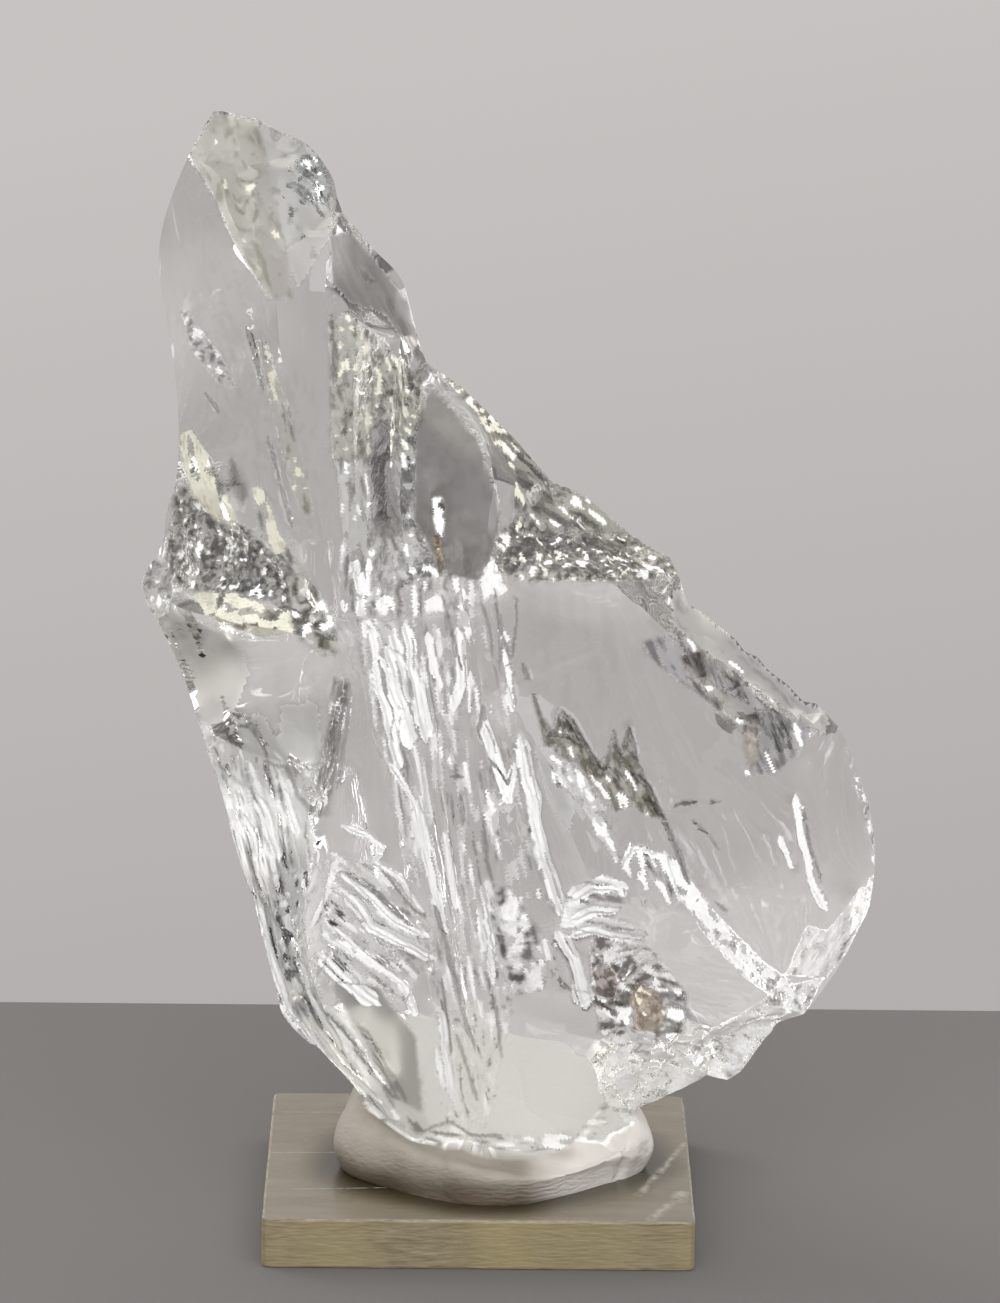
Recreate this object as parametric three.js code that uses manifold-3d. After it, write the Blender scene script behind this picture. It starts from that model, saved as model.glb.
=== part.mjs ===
// A clear glass shard, the andara crystal, standing in a lump of mineral putty on an acrylic plate.
// Millimetres, +Z up, +X right, +Y away from the front. The origin is the centre of the plate's
// underside. The shard is two sheets of broken facets, front and back, that share one rim.

import * as THREE from 'three';
import { mergeVertices } from 'three/addons/utils/BufferGeometryUtils.js';
import Module from 'manifold-3d';

const wasm = await Module();
wasm.setup();

// ---------------------------------------------------------------- driving dimensions

const plate = { side: 50.8, thickness: 6, bevel: 0.35, corner: 0.8 };

const lump = {
  centre: [1.5, -1.0],      // where the lump sits on the plate
  halfWidth: 19,
  halfDepth: 17.5,
  height: 12,
  backHeight: 21,           // it is banked up against the shard's back
  squareness: 2.4,          // of the plan: 2 is an ellipse, more is squarer
  socketGap: 0.3,           // between glass and putty
  frontStart: -8,           // before this the putty is pressed down to a sill below the shard's edge
  sill: [[-19, 21], [-14, 14.6], [-11, 11.6], [-8, 10.2], [-3.5, 9.2], [1, 8.2], [6.5, 6.9], [11.5, 6.4],
    [15.5, 7.8], [18, 11], [20, 13]],   // its height across X
  sillRise: 0.17,           // how steeply the sill rises to the front
};

const grain = { smooth: 3.0, fluted: 2.1, crumbled: 1.7 };   // edge length of a facet's triangles
const creaseWobble = 0.25;                                   // how ragged the lines between facets are

// ---------------------------------------------------------------- the shard's corners

const corners = {
  // round the rim, clockwise seen from the front
  tip: [-32, 3, 132],
  capCorner: [-20, 5, 127],
  neck: [-17, 3, 120],
  gable: [-10, 6, 112.5],
  upperEnd: [-8, 5, 104.5],
  notch: [-7, 4, 102],
  shoulder: [7.5, 3, 88.5],
  ledgeEnd: [23, -1, 77.5],
  slopeEnd: [40.5, 1, 61],
  lobeSide: [46, -3, 38],
  lobeFoot: [38.5, -5, 25.5],
  rimCorner: [29.5, -6, 17.5],
  lip: [18, -6, 12],
  footRight: [11.5, -8, 7],
  windowFoot: [1, -9.5, 9],
  columnFoot: [-3.5, -9.5, 10],
  footLeft: [-8, -9, 11],
  elbow: [-24, -5, 24.5],
  veeLeft: [-32.5, -4, 57],
  knee: [-38.5, -3, 72.5],
  knobTop: [-38.5, -1, 79.5],
  ledgeLeft: [-36, 0, 88],
  cheek: [-39, 0, 116],
  capLeft: [-35, 2, 126.5],
  // inside the front sheet
  crestTop: [-18.5, -4.5, 118.5],
  crestBreak: [-18.5, -7, 106.5],
  waist: [-16, -12.5, 72],
  darkJoin: [-5.5, -12, 80],
  bandLow: [1, -5.2, 90],
  meeting: [-0.5, -12.8, 80.5],
  ridgeFork: [3.5, -14, 63.5],
  roughStart: [7, -14.5, 61.5],
  shelfStart: [9, -15, 43],
  shelfEnd: [25, -14, 38.5],
  chipStart: [13.5, -13, 28.5],
  lobeKink: [38, -6.8, 40],
  veeJoin: [-18.5, -12, 53],
  puttyCrown: [2, -14, 30.5],
  // inside the back sheet
  backTop: [-25.5, 7, 122.5],
  backCheek: [-31.5, 3.2, 121],
  backHigh: [-20, 8.5, 90.5],
  backArm: [-30.5, 3.2, 90],
  backWaist: [-14, 9.5, 74.5],
  backKnee: [-31, 2.2, 71],
  backHub: [-6.5, 11, 58],
  backBench: [3, 10, 82],
  backNook: [18.5, 7, 70],
  backFlank: [-24, 1.5, 55],
  backMid: [-1.5, 12, 40.5],
  backLow: [2, 12, 24.5],
  backCalf: [-16, 3, 27],
  backFoot: [4, 10.5, 13],
};

// Each line runs from a corner to a corner through the points that its shape needs.
const lines = {
  // the rim
  capTop: ['tip', [-28.5, 4, 131], [-24.5, 5, 129.5], 'capCorner'],
  capRight: ['capCorner', [-19, 4, 125], [-17.5, 3, 122], 'neck'],
  gableEdge: ['neck', [-15.5, 4, 117.5], [-12.5, 5, 114.5], 'gable'],
  gableSide: ['gable', [-9, 6, 109], 'upperEnd'],
  notchEdge: ['upperEnd', 'notch'],
  shoulderEdge: ['notch', [-4, 4, 100.3], [-1.5, 4, 98], [2, 4, 94.5], [5, 4, 91.5], 'shoulder'],
  ledgeEdge: ['shoulder', [10.5, 2, 87], [13, 2, 86], [16, 2, 83], [19, 1, 81], [21.5, 0, 79.5], 'ledgeEnd'],
  slopeEdge: ['ledgeEnd', [24, -1, 74.5], [27, 0, 72], [31, 1, 68.5], [34.5, 1, 65], [38, 1, 62.5],
    'slopeEnd'],
  lobeEdge: ['slopeEnd', [42.5, 0, 59], [44, 0, 56], [45.5, -1, 52], [46.5, -1, 48], [47, -2, 45],
    [47, -2, 41.5], 'lobeSide'],
  lobeLow: ['lobeSide', [44, -3, 33], [41.5, -4, 29], 'lobeFoot'],
  rimLow: ['lobeFoot', [35.5, -5, 24.5], [33, -6, 21.5], [31, -6, 18.5], 'rimCorner'],
  rimEnd: ['rimCorner', [27, -6, 18], [24, -6, 16.5], [21.5, -6, 15], [19, -6, 14], 'lip'],
  footRightEdge: ['lip', [15.5, -7, 8.5], 'footRight'],
  footMid: ['footRight', [6.5, -9, 7.5], 'windowFoot'],
  footLeftEdge: ['windowFoot', 'columnFoot'],
  footEnd: ['columnFoot', 'footLeft'],
  heelEdge: ['footLeft', [-11, -8, 12.5], [-14, -7, 15.5], [-17.5, -6, 19], [-21, -5, 21.5], 'elbow'],
  flankEdge: ['elbow', [-24.5, -5, 28.5], [-26, -5, 34.5], [-27.5, -4, 40], [-29, -4, 45],
    [-30.5, -4, 49.5], [-31, -4, 53], 'veeLeft'],
  kneeEdge: ['veeLeft', [-33.5, -4, 60.5], [-35, -3, 65], [-36.5, -3, 69], 'knee'],
  knobEdge: ['knee', [-40.5, -2, 75], [-40.5, -1, 77.5], 'knobTop'],
  ledgeSide: ['knobTop', [-38, 0, 82], [-37.5, 0, 85.5], 'ledgeLeft'],
  spireEdge: ['ledgeLeft', [-36, 0, 92.5], [-36, 0, 99], [-37, 0, 105], [-38, 0, 111], 'cheek'],
  cheekEdge: ['cheek', [-38, 0, 119], [-37, 1, 122.5], 'capLeft'],
  tipEdge: ['capLeft', [-33.5, 3, 129.5], 'tip'],
  // across the front
  crestStart: ['neck', [-18, -1, 118.8], 'crestTop'],
  capLine: ['capLeft', [-32, -1, 126], [-30, -3, 121.5], [-28, -4, 117], [-24.5, -5, 116],
    [-21, -5, 118.5], 'crestTop'],
  crestHigh: ['crestTop', [-19, -6, 112], 'crestBreak'],
  crestLow: ['crestBreak', [-18, -7.5, 99.5], [-17.5, -8.5, 92.5], [-17, -9.5, 85.5],
    [-16.5, -11, 78.5], 'waist'],
  upperLedge: ['crestBreak', [-15.5, -5.5, 109], [-13, -3, 107], [-10, 0, 106], 'upperEnd'],
  darkLeft: ['notch', [-8, 1.6, 98.5], [-8.5, -2, 94], [-9, -6, 88.5], [-8.5, -9.6, 83.5], 'darkJoin'],
  darkRight: ['notch', [-5.8, 1.8, 99], [-2.5, 0.5, 97.5], [0, -2, 94], 'bandLow'],
  darkFoot: ['bandLow', [0.5, -9, 85.5], 'meeting'],
  darkSill: ['darkJoin', 'meeting'],
  columnBreak: ['waist', [-13, -12.8, 76], [-9.5, -12.5, 78.5], 'darkJoin'],
  bandEnd: ['shoulder', [4.5, -3, 88.5], 'bandLow'],
  ledgeRightLow: ['meeting', [3.5, -11.5, 80], [9, -10, 80], [14, -7.5, 79.5], [19, -5, 79.5], 'ledgeEnd'],
  rimLine: ['ledgeEnd', [23.5, -3, 72], [28, -3.5, 67], [33.5, -3.5, 62.5], [38, -3.5, 59.5], 'slopeEnd'],
  lobeLine: ['slopeEnd', [38.5, -4, 57], [37, -5.5, 53.5], [37, -6.5, 49], [38.5, -7, 44], 'lobeKink'],
  brightHigh: ['meeting', [1, -13, 75], [2.5, -13.5, 70], 'ridgeFork'],
  brightMid: ['ridgeFork', [5, -14.5, 57.5], [7, -15, 50.5], 'shelfStart'],
  brightLow: ['shelfStart', [12, -14.5, 35], 'chipStart'],
  brightEnd: ['chipStart', [16, -10.5, 19.5], 'lip'],
  forkLink: ['ridgeFork', 'roughStart'],
  zigzag: ['roughStart', [11, -15, 61.5], [14, -15.5, 58], [19, -15.5, 54], [24, -15, 49.5],
    [30, -12.5, 42], 'lobeKink'],
  zigzagEnd: ['lobeKink', [41, -6.5, 39.5], 'lobeSide'],
  roughRidge: ['roughStart', [9.5, -15.5, 57], [13.5, -16, 52.5], [18, -16, 48], 'shelfEnd'],
  roughLow: ['shelfEnd', [31.5, -10.5, 31], [36, -7.5, 27], 'lobeFoot'],
  shelf: ['shelfStart', [14, -15.5, 41.5], [19, -15.5, 41.5], 'shelfEnd'],
  chipLine: ['chipStart', [19, -12.5, 25], [25, -11, 25], [31, -9, 26], [35, -7.5, 26.5], 'lobeFoot'],
  puttyTop: ['chipStart', [6.5, -14.5, 33.5], 'puttyCrown'],
  puttySide: ['puttyCrown', [1, -13, 24.5], [1, -11.5, 16.5], 'windowFoot'],
  columnMid: ['darkJoin', [-4.5, -13.3, 70], [-4.5, -13.8, 60], [-3, -15.3, 49], [-1, -15, 39], 'puttyCrown'],
  strandTop: ['waist', [-15.5, -13, 67], [-16.5, -12.5, 61.5], 'veeJoin'],
  strandLow: ['veeJoin', [-20, -11.5, 43.5], [-21, -11, 35.5], [-19, -10.5, 28], [-15, -10, 20],
    [-10.5, -9.5, 14], 'footLeft'],
  vee: ['veeLeft', [-29, -7, 60], [-26, -8.5, 59], [-23, -10, 57], [-20.5, -11, 54.5], 'veeJoin'],
  columnLeft: ['waist', [-13, -13.5, 64], [-10, -14, 55], [-8, -14, 44], [-6, -13, 33],
    [-4.5, -11.5, 21.5], 'columnFoot'],
  ledgeLeftTop: ['ledgeLeft', [-32, -3.5, 88], [-28.5, -5, 85.5], [-24.5, -6.5, 82.5], [-21, -8.5, 79],
    [-18.5, -10.5, 75.5], 'waist'],
  ledgeLeftLow: ['knee', [-36, -6, 74.5], [-31.5, -9, 74], [-26, -11.5, 73.5], [-21, -13, 73], 'waist'],
  // across the back
  backTip: ['tip', [-29, 6, 128], 'backTop'],
  backNeck: ['backTop', [-21, 6.5, 121.5], 'neck'],
  backBrow: ['backTop', [-28.5, 5, 122], 'backCheek'],
  backTemple: ['backCheek', 'capLeft'],
  backSpire: ['backTop', [-23, 8, 106.5], 'backHigh'],
  backSide: ['backCheek', [-32.5, 2.8, 114], [-32, 3, 103], 'backArm'],
  backArmFoot: ['backArm', 'ledgeLeft'],
  backForearm: ['backArm', [-33, 3.4, 80], 'backKnee'],
  backKneeFoot: ['backKnee', 'knee'],
  backThigh: ['backKnee', [-27.5, 1.6, 63], 'backFlank'],
  backFlankFoot: ['backFlank', 'veeLeft'],
  backShin: ['backFlank', [-21.5, 1.6, 46], [-19, 1.8, 36], 'backCalf'],
  backCalfFoot: ['backCalf', 'elbow'],
  backSpine: ['backHigh', 'backWaist'],
  backSpineLow: ['backWaist', 'backHub'],
  backStem: ['backHub', 'backMid'],
  backStemLow: ['backMid', 'backLow'],
  backHeel: ['backLow', 'backFoot'],
  backLedgeLeft: ['backHigh', [-25.5, 6.2, 89.5], 'backArm'],
  backUpper: ['backHigh', [-13, 8, 95], 'notch'],
  backShoulder: ['backWaist', [-5, 11, 79.5], 'backBench'],
  backShoulderEnd: ['backBench', 'shoulder'],
  backBenchEdge: ['backBench', [10.5, 9, 78], 'backNook'],
  backKnob: ['backWaist', [-23, 6.5, 72], 'backKnee'],
  backLedge: ['backHub', [5, 10, 65], 'backNook'],
  backNookTop: ['backNook', 'ledgeEnd'],
  backVee: ['backHub', [-15.5, 8, 56.5], 'backFlank'],
  backSlope: ['backNook', [23, 5.6, 62.5], [28.5, 4.8, 55.5], [34, 3.4, 53], 'slopeEnd'],
  backLobe: ['backMid', [14, 10.5, 39.5], [28, 7, 38], [39, 2.5, 38.5], 'lobeSide'],
  backElbow: ['backLow', [-8, 8.5, 23.5], 'backCalf'],
  backRim: ['backLow', [13.5, 9.5, 22.5], [23, 3, 20.5], 'rimCorner'],
  heelLeft: ['footLeft', [-2.5, 1, 12], 'backFoot'],
  heelRight: ['backFoot', [9, 1.5, 10], 'footRight'],
};

// ---------------------------------------------------------------- the shard's facets
// A loop lists the lines round a facet, clockwise seen from the front; a minus sign runs one backwards.
// hollow is how far the middle is scooped in and crumble the height of broken lumps on it. A facet with
// no grain of its own is smooth. A fluted facet's loop is parted by bars into top, right, bottom and
// left: its flutes run from top to bottom, ridge and groove in turn, ridge mm out and in.

const frontFacets = [
  { loop: 'capTop capRight crestStart -capLine tipEdge', grain: grain.crumbled, crumble: 1.3, hollow: 0.6 },
  { loop: 'capLine crestHigh crestLow -ledgeLeftTop spireEdge cheekEdge', hollow: 1.0 },
  { loop: 'gableEdge gableSide -upperLedge -crestHigh -crestStart', hollow: 0.2 },
  { loop: 'upperLedge notchEdge | darkLeft | -columnBreak | -crestLow', grain: grain.fluted,
    flutes: 5, ridge: 0.7, hollow: 0.2, crumble: 0.3 },
  { loop: 'darkRight darkFoot -darkSill -darkLeft', hollow: 0.1 },
  { loop: 'shoulderEdge bandEnd -darkRight', grain: grain.fluted, hollow: 0.5 },
  { loop: 'ledgeEdge -ledgeRightLow -darkFoot -bandEnd', grain: grain.crumbled, hollow: 1.2, crumble: 1.2 },
  { loop: 'ledgeSide ledgeLeftTop -ledgeLeftLow knobEdge', grain: grain.crumbled, hollow: 1.5, crumble: 1.4 },
  { loop: 'ledgeLeftLow strandTop -vee kneeEdge', hollow: 1.6 },
  { loop: 'vee | strandLow | heelEdge | flankEdge', grain: grain.fluted, flutes: 3, ridge: 0.8, hollow: 0.3 },
  { loop: 'columnLeft footEnd -strandLow -strandTop', grain: grain.fluted, hollow: 1.4 },
  { loop: 'columnBreak | columnMid | puttySide footLeftEdge | -columnLeft', grain: grain.fluted,
    flutes: 5, ridge: 0.55, hollow: 0.2 },
  { loop: 'darkSill | brightHigh brightMid brightLow | puttyTop | -columnMid', grain: grain.fluted,
    flutes: 3, ridge: 0.7, hollow: 0.3 },
  { loop: 'brightEnd footRightEdge footMid -puttySide -puttyTop', hollow: 0.8 },
  { loop: 'ledgeRightLow rimLine lobeLine -zigzag -forkLink -brightHigh', hollow: 1.6 },
  { loop: 'slopeEdge -rimLine', grain: grain.crumbled, hollow: 0.3, crumble: 0.6 },
  { loop: 'lobeEdge -zigzagEnd -lobeLine', hollow: 0.5 },
  { loop: 'zigzag zigzagEnd lobeLow -roughLow -roughRidge', hollow: 0.8 },
  { loop: 'forkLink | roughRidge | -shelf | -brightMid', grain: grain.fluted,
    flutes: 3, ridge: 0.6, hollow: 0.4 },
  { loop: 'shelf roughLow -chipLine -brightLow', hollow: 1.8 },
  { loop: 'chipLine rimLow rimEnd -brightEnd', grain: grain.crumbled, hollow: 0.8, crumble: 1.0 },
];

const backFacets = [
  { loop: 'capTop capRight -backNeck -backTip', hollow: 0.3 },
  { loop: 'backTip backBrow backTemple tipEdge', hollow: 0.3 },
  { loop: '-backBrow backSpire backLedgeLeft -backSide', hollow: 0.6 },
  { loop: 'backSide backArmFoot spireEdge cheekEdge -backTemple', hollow: 0.2 },
  { loop: 'backNeck gableEdge gableSide notchEdge -backUpper -backSpire', grain: grain.fluted, hollow: 0.7 },
  { loop: 'backUpper | shoulderEdge | -backShoulderEnd -backShoulder | -backSpine', grain: grain.fluted,
    flutes: 5, ridge: 0.5, hollow: 0.2 },
  { loop: 'backSpine backKnob -backForearm -backLedgeLeft', hollow: 0.8 },
  { loop: 'backForearm backKneeFoot knobEdge ledgeSide -backArmFoot', hollow: 0.3 },
  { loop: 'backShoulderEnd ledgeEdge -backNookTop -backBenchEdge', grain: grain.crumbled, hollow: 0.6,
    crumble: 0.7 },
  { loop: 'backShoulder backBenchEdge -backLedge -backSpineLow', hollow: 0.8 },
  { loop: 'backSpineLow backVee -backThigh -backKnob', hollow: 0.8 },
  { loop: 'backThigh backFlankFoot kneeEdge -backKneeFoot', hollow: 0.2 },
  { loop: 'backNookTop slopeEdge -backSlope', grain: grain.crumbled, hollow: 1.2, crumble: 0.9 },
  { loop: 'backLedge backSlope lobeEdge -backLobe -backStem', hollow: 1.8 },
  { loop: '-backVee | backStem backStemLow | backElbow | -backShin', grain: grain.fluted,
    flutes: 5, ridge: 0.6, hollow: 0.2 },
  { loop: 'backShin backCalfFoot flankEdge -backFlankFoot', hollow: 0.2 },
  { loop: 'backLobe lobeLow rimLow -backRim -backStemLow', hollow: 1.6 },
  { loop: 'backHeel -heelLeft heelEdge -backCalfFoot -backElbow', hollow: 0.6 },
  { loop: 'backRim rimEnd footRightEdge -heelRight -backHeel', hollow: 0.6 },
  { loop: 'heelRight footMid footLeftEdge footEnd heelLeft', hollow: 0.2 },
];

// Small hollows broken out of the front: place on the sheet, half width, half height, depth.
const pits = [
  { at: [-6, 86.5], half: [1.9, 3.6], depth: 1.3 },     // the drop-shaped pit over the column
  { at: [-21.5, 76.5], half: [1.7, 2.3], depth: 1.2 },  // the oval pit in the left ledge
  { at: [20, 31], half: [4.6, 4.6], depth: 1.6 },       // the round scar over the lower rim
];

// ---------------------------------------------------------------- small tools

function hash(...numbers) {
  // the same number from 0 to 1 for the same whole numbers, every run
  let h = 2166136261;
  for (const n of numbers) h = Math.imul(h ^ (n + 7919), 16777619) ^ (h >>> 13);
  return ((h ^ (h >>> 16)) >>> 0) / 4294967296;
}

function noise(x, y, z) {
  // smooth noise from -1 to 1, one lump per unit
  const cell = [x, y, z].map(Math.floor);
  const part = [x, y, z].map((v, i) => v - cell[i]).map((t) => t * t * (3 - 2 * t));
  let sum = 0;
  for (let corner = 0; corner < 8; corner++) {
    const step = [corner & 1, (corner >> 1) & 1, corner >> 2];
    const weight = step.reduce((w, s, i) => w * (s ? part[i] : 1 - part[i]), 1);
    sum += weight * hash(...cell.map((c, i) => c + step[i]));
  }
  return 2 * sum - 1;
}

const vector = (p) => new THREE.Vector3(...p);

// ---------------------------------------------------------------- lines to points

const points = [];        // every vertex of the shard
const cornerIndex = {};   // corner name to its vertex
const lineIndex = {};     // line name to its vertices in order

function addPoint(v) {
  points.push(v.clone());
  return points.length - 1;
}

function lineNames(loop) {
  return loop.match(/\w+/g);
}

function lineStep(name) {
  // a line is cut as finely as the finest facet beside it
  const beside = [...frontFacets, ...backFacets].filter((f) => lineNames(f.loop).includes(name));
  return Math.min(...beside.map((f) => f.grain ?? grain.smooth));
}

function layLine(name, [first, ...rest]) {
  const last = rest.pop();
  const path = [vector(corners[first]), ...rest.map(vector), vector(corners[last])];
  const step = lineStep(name);
  const wobble = creaseWobble * (step < grain.smooth ? 1 : 0.4);
  const index = [cornerIndex[first]];
  for (let i = 1; i < path.length; i++) {
    const pieces = Math.max(1, Math.round(path[i - 1].distanceTo(path[i]) / step));
    for (let k = 1; k <= pieces; k++) {
      if (i === path.length - 1 && k === pieces) break;
      const v = path[i - 1].clone().lerp(path[i], k / pieces);
      const seed = points.length;
      v.add(new THREE.Vector3(hash(seed, 1) - 0.5, hash(seed, 2) - 0.5, hash(seed, 3) - 0.5)
        .multiplyScalar(2 * wobble));
      index.push(addPoint(v));
    }
  }
  index.push(cornerIndex[last]);
  lineIndex[name] = index;
}

for (const [name, place] of Object.entries(corners)) cornerIndex[name] = addPoint(vector(place));
for (const [name, stops] of Object.entries(lines)) layLine(name, stops);

function runVertices(words) {
  // the vertices along some lines laid end to end
  const run = [];
  for (const word of words.trim().split(' ')) {
    const index = lineIndex[word.replace('-', '')];
    const next = word.startsWith('-') ? [...index].reverse() : index;
    if (run.length && run[run.length - 1] !== next[0]) throw new Error(`loop broken at ${word}: ${words}`);
    run.push(...(run.length ? next.slice(1) : next));
  }
  return run;
}

function loopRing(loop) {
  const ring = runVertices(loop);
  if (ring.pop() !== ring[0]) throw new Error(`loop not closed: ${loop}`);
  return ring;
}

function along(run, part) {
  // the place a share of the way down a run of vertices
  const path = new THREE.CurvePath();
  for (let i = 1; i < run.length; i++) path.add(new THREE.LineCurve3(points[run[i - 1]], points[run[i]]));
  return path.getPointAt(part);
}

function layFlute(facet, outward, share, ends, sides, turn) {
  // one ridge or groove from the facet's top to its bottom, a share of the way from left to right
  const [start, end] = ends;
  const length = points[start].distanceTo(points[end]);
  const steps = Math.max(2, Math.round(length / facet.grain));
  const place = (part) => along(sides[0], part).lerp(along(sides[1], part), share);
  const strip = (part) => along(sides[0], part).distanceTo(along(sides[1], part)) / facet.flutes;
  const slipTop = points[start].clone().sub(place(0));
  const slipEnd = points[end].clone().sub(place(1));
  const flute = [start];
  for (let i = 1; i < steps; i++) {
    const part = i / steps;
    const v = place(part).addScaledVector(slipTop, 1 - part).addScaledVector(slipEnd, part);
    const fade = Math.min(1, 5 * part, 5 * (1 - part));
    const width = strip(part);
    const height = Math.min(facet.ridge, 0.35 * width) * fade * (1 + 0.6 * noise(part * 6, turn * 3.1, 5));
    v.x += 0.05 * width * noise(part * 4, turn * 7.3, share * 31) * fade;
    v.y -= outward * (turn % 2 ? height : -height);
    flute.push(addPoint(v));
  }
  return [...flute, end];
}

function fluteRings(facet, outward) {
  // a fluted facet as the strips between its flutes
  const [top, right, bottom, left] = facet.loop.split('|').map(runVertices);
  const across = [...bottom].reverse();
  const sides = [[...left].reverse(), right];
  const flutes = [sides[0]];
  const stops = [[0, 0]];
  for (let turn = 1; turn < facet.flutes; turn++) {
    const share = turn / facet.flutes;
    const stop = [Math.round(share * (top.length - 1)), Math.round(share * (across.length - 1))];
    stops.push(stop);
    flutes.push(layFlute(facet, outward, share, [top[stop[0]], across[stop[1]]], sides, turn));
  }
  stops.push([top.length - 1, across.length - 1]);
  flutes.push(right);
  return flutes.slice(1).map((flute, i) => [
    ...top.slice(stops[i][0], stops[i + 1][0] + 1),
    ...flute.slice(1),
    ...across.slice(stops[i][1], stops[i + 1][1]).reverse(),
    ...flutes[i].slice(1, -1).reverse(),
  ]);
}

// ---------------------------------------------------------------- one facet, meshed

function flatArea(a, b, c) {
  // twice the signed area seen from the front
  const [p, q, r] = [points[a], points[b], points[c]];
  return (q.x - p.x) * (r.z - p.z) - (r.x - p.x) * (q.z - p.z);
}

function edgeMap(triangles) {
  const map = new Map();
  triangles.forEach((t, face) => {
    for (let i = 0; i < 3; i++) {
      const [a, b] = [t[i], t[(i + 1) % 3]];
      const key = a < b ? `${a},${b}` : `${b},${a}`;
      if (!map.has(key)) map.set(key, { a, b, sides: [] });
      map.get(key).sides.push({ face, apex: t[(i + 2) % 3] });
    }
  });
  return [...map.values()].filter((edge) => edge.sides.length === 2);
}

function angleAt(apex, a, b) {
  const u = points[a].clone().sub(points[apex]);
  return u.angleTo(points[b].clone().sub(points[apex]));
}

function flipEdges(triangles) {
  // turn an edge where the angles facing it are too wide together
  const touched = new Set();
  let flips = 0;
  for (const { a, b, sides: [one, two] } of edgeMap(triangles)) {
    if (touched.has(one.face) || touched.has(two.face)) continue;
    if (angleAt(one.apex, a, b) + angleAt(two.apex, a, b) < Math.PI * 1.02) continue;
    const sign = Math.sign(flatArea(...triangles[one.face]));
    const first = [one.apex, a, two.apex];
    const second = [two.apex, b, one.apex];
    const least = 1e-3;
    if (sign * flatArea(...first) < least || sign * flatArea(...second) < least) continue;
    triangles[one.face] = first;
    triangles[two.face] = second;
    touched.add(one.face).add(two.face);
    flips++;
  }
  return flips;
}

function splitEdges(triangles, size) {
  const long = edgeMap(triangles)
    .map((edge) => ({ ...edge, length: points[edge.a].distanceTo(points[edge.b]) }))
    .filter((edge) => edge.length > size * 1.35)
    .sort((p, q) => q.length - p.length);
  const touched = new Set();
  for (const { a, b, sides } of long) {
    if (sides.some((side) => touched.has(side.face))) continue;
    const middle = addPoint(points[a].clone().lerp(points[b], 0.5));
    for (const { face } of sides) {
      const t = triangles[face];
      triangles[face] = t.map((v) => (v === b ? middle : v));
      triangles.push(t.map((v) => (v === a ? middle : v)));
      touched.add(face);
    }
  }
  return touched.size;
}

function neighboursOf(triangles, ring) {
  const fixed = new Set(ring);
  const near = new Map();
  for (const t of triangles) {
    for (let i = 0; i < 3; i++) {
      if (fixed.has(t[i])) continue;
      if (!near.has(t[i])) near.set(t[i], new Set());
      near.get(t[i]).add(t[(i + 1) % 3]).add(t[(i + 2) % 3]);
    }
  }
  return near;
}

function relax(near, rounds) {
  for (let round = 0; round < rounds; round++) {
    for (const [v, around] of near) {
      const mean = new THREE.Vector3();
      for (const n of around) mean.add(points[n]);
      points[v].copy(mean.divideScalar(around.size));
    }
  }
}

function depthOfPlace(near, rounds) {
  // 0 on the facet's edge, 1 in its middle: the shape of a skin under even pressure
  const rise = new Map();
  for (let round = 0; round < rounds; round++) {
    for (const [v, around] of near) {
      let mean = 0;
      for (const n of around) mean += rise.get(n) ?? 0;
      rise.set(v, mean / around.size + 1);
    }
  }
  const top = Math.max(...rise.values(), 1);
  for (const [v, value] of rise) rise.set(v, value / top);
  return rise;
}

function meshRing(ring, facet, outward) {
  const flat = ring.map((v) => new THREE.Vector2(points[v].x, points[v].z));
  const triangles = THREE.ShapeUtils.triangulateShape(flat, [])
    .map((t) => t.map((i) => ring[i]))
    .map((t) => (flatArea(...t) * outward < 0 ? [t[0], t[2], t[1]] : t));
  const size = facet.grain ?? grain.smooth;
  while (flipEdges(triangles) > 0);
  for (let round = 0; round < 14; round++) {
    const split = splitEdges(triangles, size);
    for (let pass = 0; pass < 4; pass++) flipEdges(triangles);
    relax(neighboursOf(triangles, ring), 3);
    if (!split) break;
  }
  carveFacet(facet, triangles, neighboursOf(triangles, ring), outward);
  return triangles;
}

function meshFacet(facet, outward) {
  const rings = facet.flutes ? fluteRings(facet, outward) : [loopRing(facet.loop)];
  return rings.flatMap((ring) => meshRing(ring, facet, outward));
}

function carveFacet(facet, triangles, near, outward) {
  relax(near, 25);
  const deep = depthOfPlace(near, 120);
  const normal = new THREE.Vector3();
  for (const [a, b, c] of triangles) {
    const u = points[b].clone().sub(points[a]);
    normal.add(u.cross(points[c].clone().sub(points[a])));
  }
  normal.normalize();
  for (const [v, place] of deep) {
    const p = points[v];
    const fade = Math.min(1, place * 3);
    let out = -(facet.hollow ?? 0) * place;
    if (facet.crumble) {
      out += facet.crumble * fade * noise(p.x / 2.6, p.y / 2.6, p.z / 2.6);
      out += 0.5 * facet.crumble * fade * noise(p.x / 1.3 + 40, p.y / 1.3, p.z / 1.3);
    }
    p.addScaledVector(normal, out);
    if (outward > 0) digPits(p, normal);
  }
}

function digPits(p, normal) {
  for (const { at, half, depth } of pits) {
    const r = Math.hypot((p.x - at[0]) / half[0], (p.z - at[1]) / half[1]);
    if (r < 1) p.addScaledVector(normal, -depth * Math.sqrt(1 - r * r));
  }
}

// ---------------------------------------------------------------- closed meshes

function toGeometry(triangles, place = (v) => points[v]) {
  const used = [...new Set(triangles.flat())];
  const rank = new Map(used.map((v, i) => [v, i]));
  const geometry = new THREE.BufferGeometry();
  const position = used.flatMap((v) => place(v).toArray());
  geometry.setAttribute('position', new THREE.Float32BufferAttribute(position, 3));
  geometry.setIndex(triangles.flat().map((v) => rank.get(v)));
  return geometry;
}

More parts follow.
